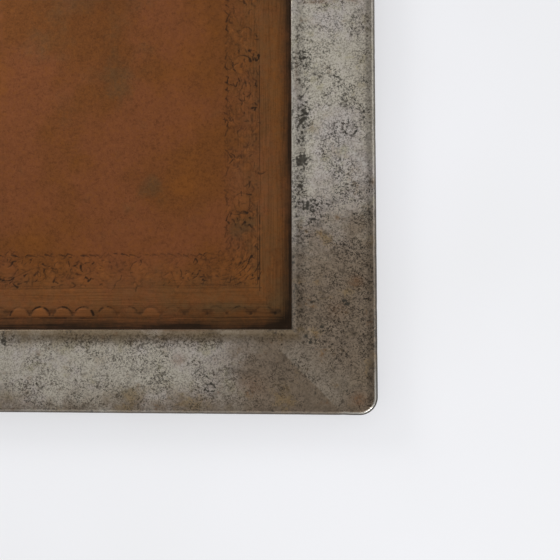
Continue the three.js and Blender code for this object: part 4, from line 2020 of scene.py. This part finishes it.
@dataclass
class Studio:
    """The floor, the backdrop, the light and the camera."""

    half_length: float
    half_depth: float
    top: float
    floor_half: float = 40.0
    floor_glow: float = 1.28
    dome_radius: float = 38.0
    room: tuple[float, float, float, float] = (0.93, 0.96, 1.0, 1.0)
    room_strength: float = 0.47
    lens: float = 49.8
    sensor: float = 36.0
    stand: tuple[float, float, float] = (-0.0275, 0.0806, 0.6783)
    aim: tuple[float, float, float] = (-0.0849, 0.1180, 0.0)
    up_hint: tuple[float, float, float] = (0.0063, 0.9985, 0.0545)
    softboxes: Sequence[Softbox] = (
        Softbox("overhead", (-0.3, 0.5, 2.4), (0.0, 0.0, 0.0), (2.6, 2.2), 7),
        Softbox("key_window", (-1.5, 1.7, 1.6), (0.2, -0.1, 0.0), (0.9, 0.9), 22),
        Softbox("right_fill", (2.2, 0.2, 1.3), (0.4, 0.0, 0.0), (2.4, 1.2), 8),
        Softbox("front_fill", (0.3, -2.2, 1.3), (0.2, -0.3, 0.0), (2.6, 1.2), 6),
        Softbox("corner_strip", (1.4, -1.75, 0.85), (0.44, -0.29, 0.03), (0.8, 0.35), 16),
    )

    def floor(self) -> Node:
        """Lays a pale floor that is clear from below, so that the underside can be looked at.

        Returns:
            The floor.
        """
        h = self.floor_half
        points = np.array([[-h, -h, 0], [h, -h, 0], [h, h, 0], [-h, h, 0]], float)
        made = make_mesh("studio_floor", points, [np.array([[0, 1, 2, 3]])])
        s = Shader("studio_floor")
        cloud = s.noise(s.place(), 300.0, 2.0, 0.5)
        tone = s.blend(cloud.between(0.2, 0.8), srgb(166, 166, 167), srgb(169, 169, 171))
        matt = {"Base Color": tone, "Roughness": 0.9, "Emission Color": tone}
        paper = s.node("ShaderNodeBsdfPrincipled", {}, matt | {"Emission Strength": self.floor_glow})
        clear = s.node("ShaderNodeBsdfTransparent")
        behind = s.node("ShaderNodeNewGeometry", out="Backfacing")
        sheet = s.node("ShaderNodeMixShader", {}, {0: behind, 1: paper, 2: clear})
        made.data.materials.append(s.finish(sheet))
        return made

    def backdrop(self) -> Node:
        """Raises a pale dome, far out, that is seen but neither lights nor shades the tray.

        Returns:
            The backdrop.
        """
        sides, radius = 96, self.dome_radius
        turns = np.arange(sides) * 2 * math.pi / sides
        rises = np.radians(np.linspace(0, 87, 24))
        x = radius * np.outer(np.cos(rises), np.cos(turns))
        y = radius * np.outer(np.cos(rises), np.sin(turns))
        z = radius * np.outer(np.sin(rises), np.ones(sides))
        points = np.stack([x, y, z], axis=-1).reshape(-1, 3)
        crown = np.arange(len(points) - sides, len(points))[None, :]
        made = make_mesh("studio_backdrop", points, [wrap_faces(len(rises), sides, False, True), crown])
        s = Shader("studio_backdrop")
        _, _, height = s.axes(s.place())
        haze = (height * MM).between(0.0, radius * 0.6)
        tone = s.blend(haze, srgb(243, 244, 246), srgb(232, 233, 236))
        glow = s.node("ShaderNodeEmission", {}, {"Color": tone, "Strength": 1.0})
        made.data.materials.append(s.finish(glow))
        made.visible_diffuse = False
        made.visible_glossy = False
        made.visible_transmission = False
        made.visible_shadow = False
        return made

    def light(self) -> None:
        """Sets the soft light: a pale room and the softboxes."""
        world = bpy.data.worlds.new("studio_room")
        world.use_nodes = True
        room = world.node_tree.nodes["Background"].inputs
        room["Color"].default_value = self.room
        room["Strength"].default_value = self.room_strength
        bpy.context.scene.world = world
        for softbox in self.softboxes:
            softbox.hang()

    def camera(self) -> None:
        """Stands the camera almost straight above the front right corner."""
        corner = Vector((self.half_length, -self.half_depth, self.top))
        place, aim = corner + Vector(self.stand), corner + Vector(self.aim)
        forward = (aim - place).normalized()
        right = forward.cross(Vector(self.up_hint)).normalized()
        up = right.cross(forward)
        view = bpy.data.cameras.new("studio_camera")
        view.lens = self.lens
        view.sensor_width = self.sensor
        view.clip_start = 0.01
        made = bpy.data.objects.new("studio_camera", view)
        made.matrix_world = Matrix.Translation(place) @ Matrix((right, up, -forward)).transposed().to_4x4()
        bpy.context.scene.collection.objects.link(made)
        bpy.context.scene.camera = made

    def build(self) -> list[Node]:
        """Sets up the whole studio.

        Returns:
            The floor and the backdrop.
        """
        self.camera()
        stage = [self.floor(), self.backdrop()]
        self.light()
        bpy.context.scene.view_settings.view_transform = "Standard"
        bpy.context.scene.view_settings.look = "None"
        return stage


def report(name: str, pieces: Sequence[Node]) -> None:
    """Logs each piece of a sub-assembly."""
    for piece in pieces:
        log.info("%s: %s, %d faces", name, piece.name, len(piece.data.polygons))


def main() -> None:
    """Builds the tray in its studio."""
    logging.basicConfig(level=logging.INFO, format="%(name)s %(message)s")
    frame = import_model()
    nodes = frame["nodes"]
    low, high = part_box("frame_rail_front")
    half_length, half_depth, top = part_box("frame_rail_right")[1][0], -low[1], high[2]
    rail_width = high[1] - low[1]
    sheet_low, sheet_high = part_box("copper_tray")
    opening = (half_length - rail_width, half_depth - rail_width)

    report("studio", Studio(half_length, half_depth, top).build())
    steel = SteelFrame(half_length, half_depth, top, rail_width, sheet_high[2] + SEAT_GAP, low[2])
    report("steel frame", steel.build())
    copper = CopperTray(sheet_high[0], sheet_high[1], *opening, sheet_high[2], sheet_low[2])
    report("copper tray", [copper.build()])
    report("underframe", Underframe(nodes).build())
    report("fixings", Fixings(nodes).build())
    report("feet", Feet(nodes).build())


if __name__ == "__main__":
    main()
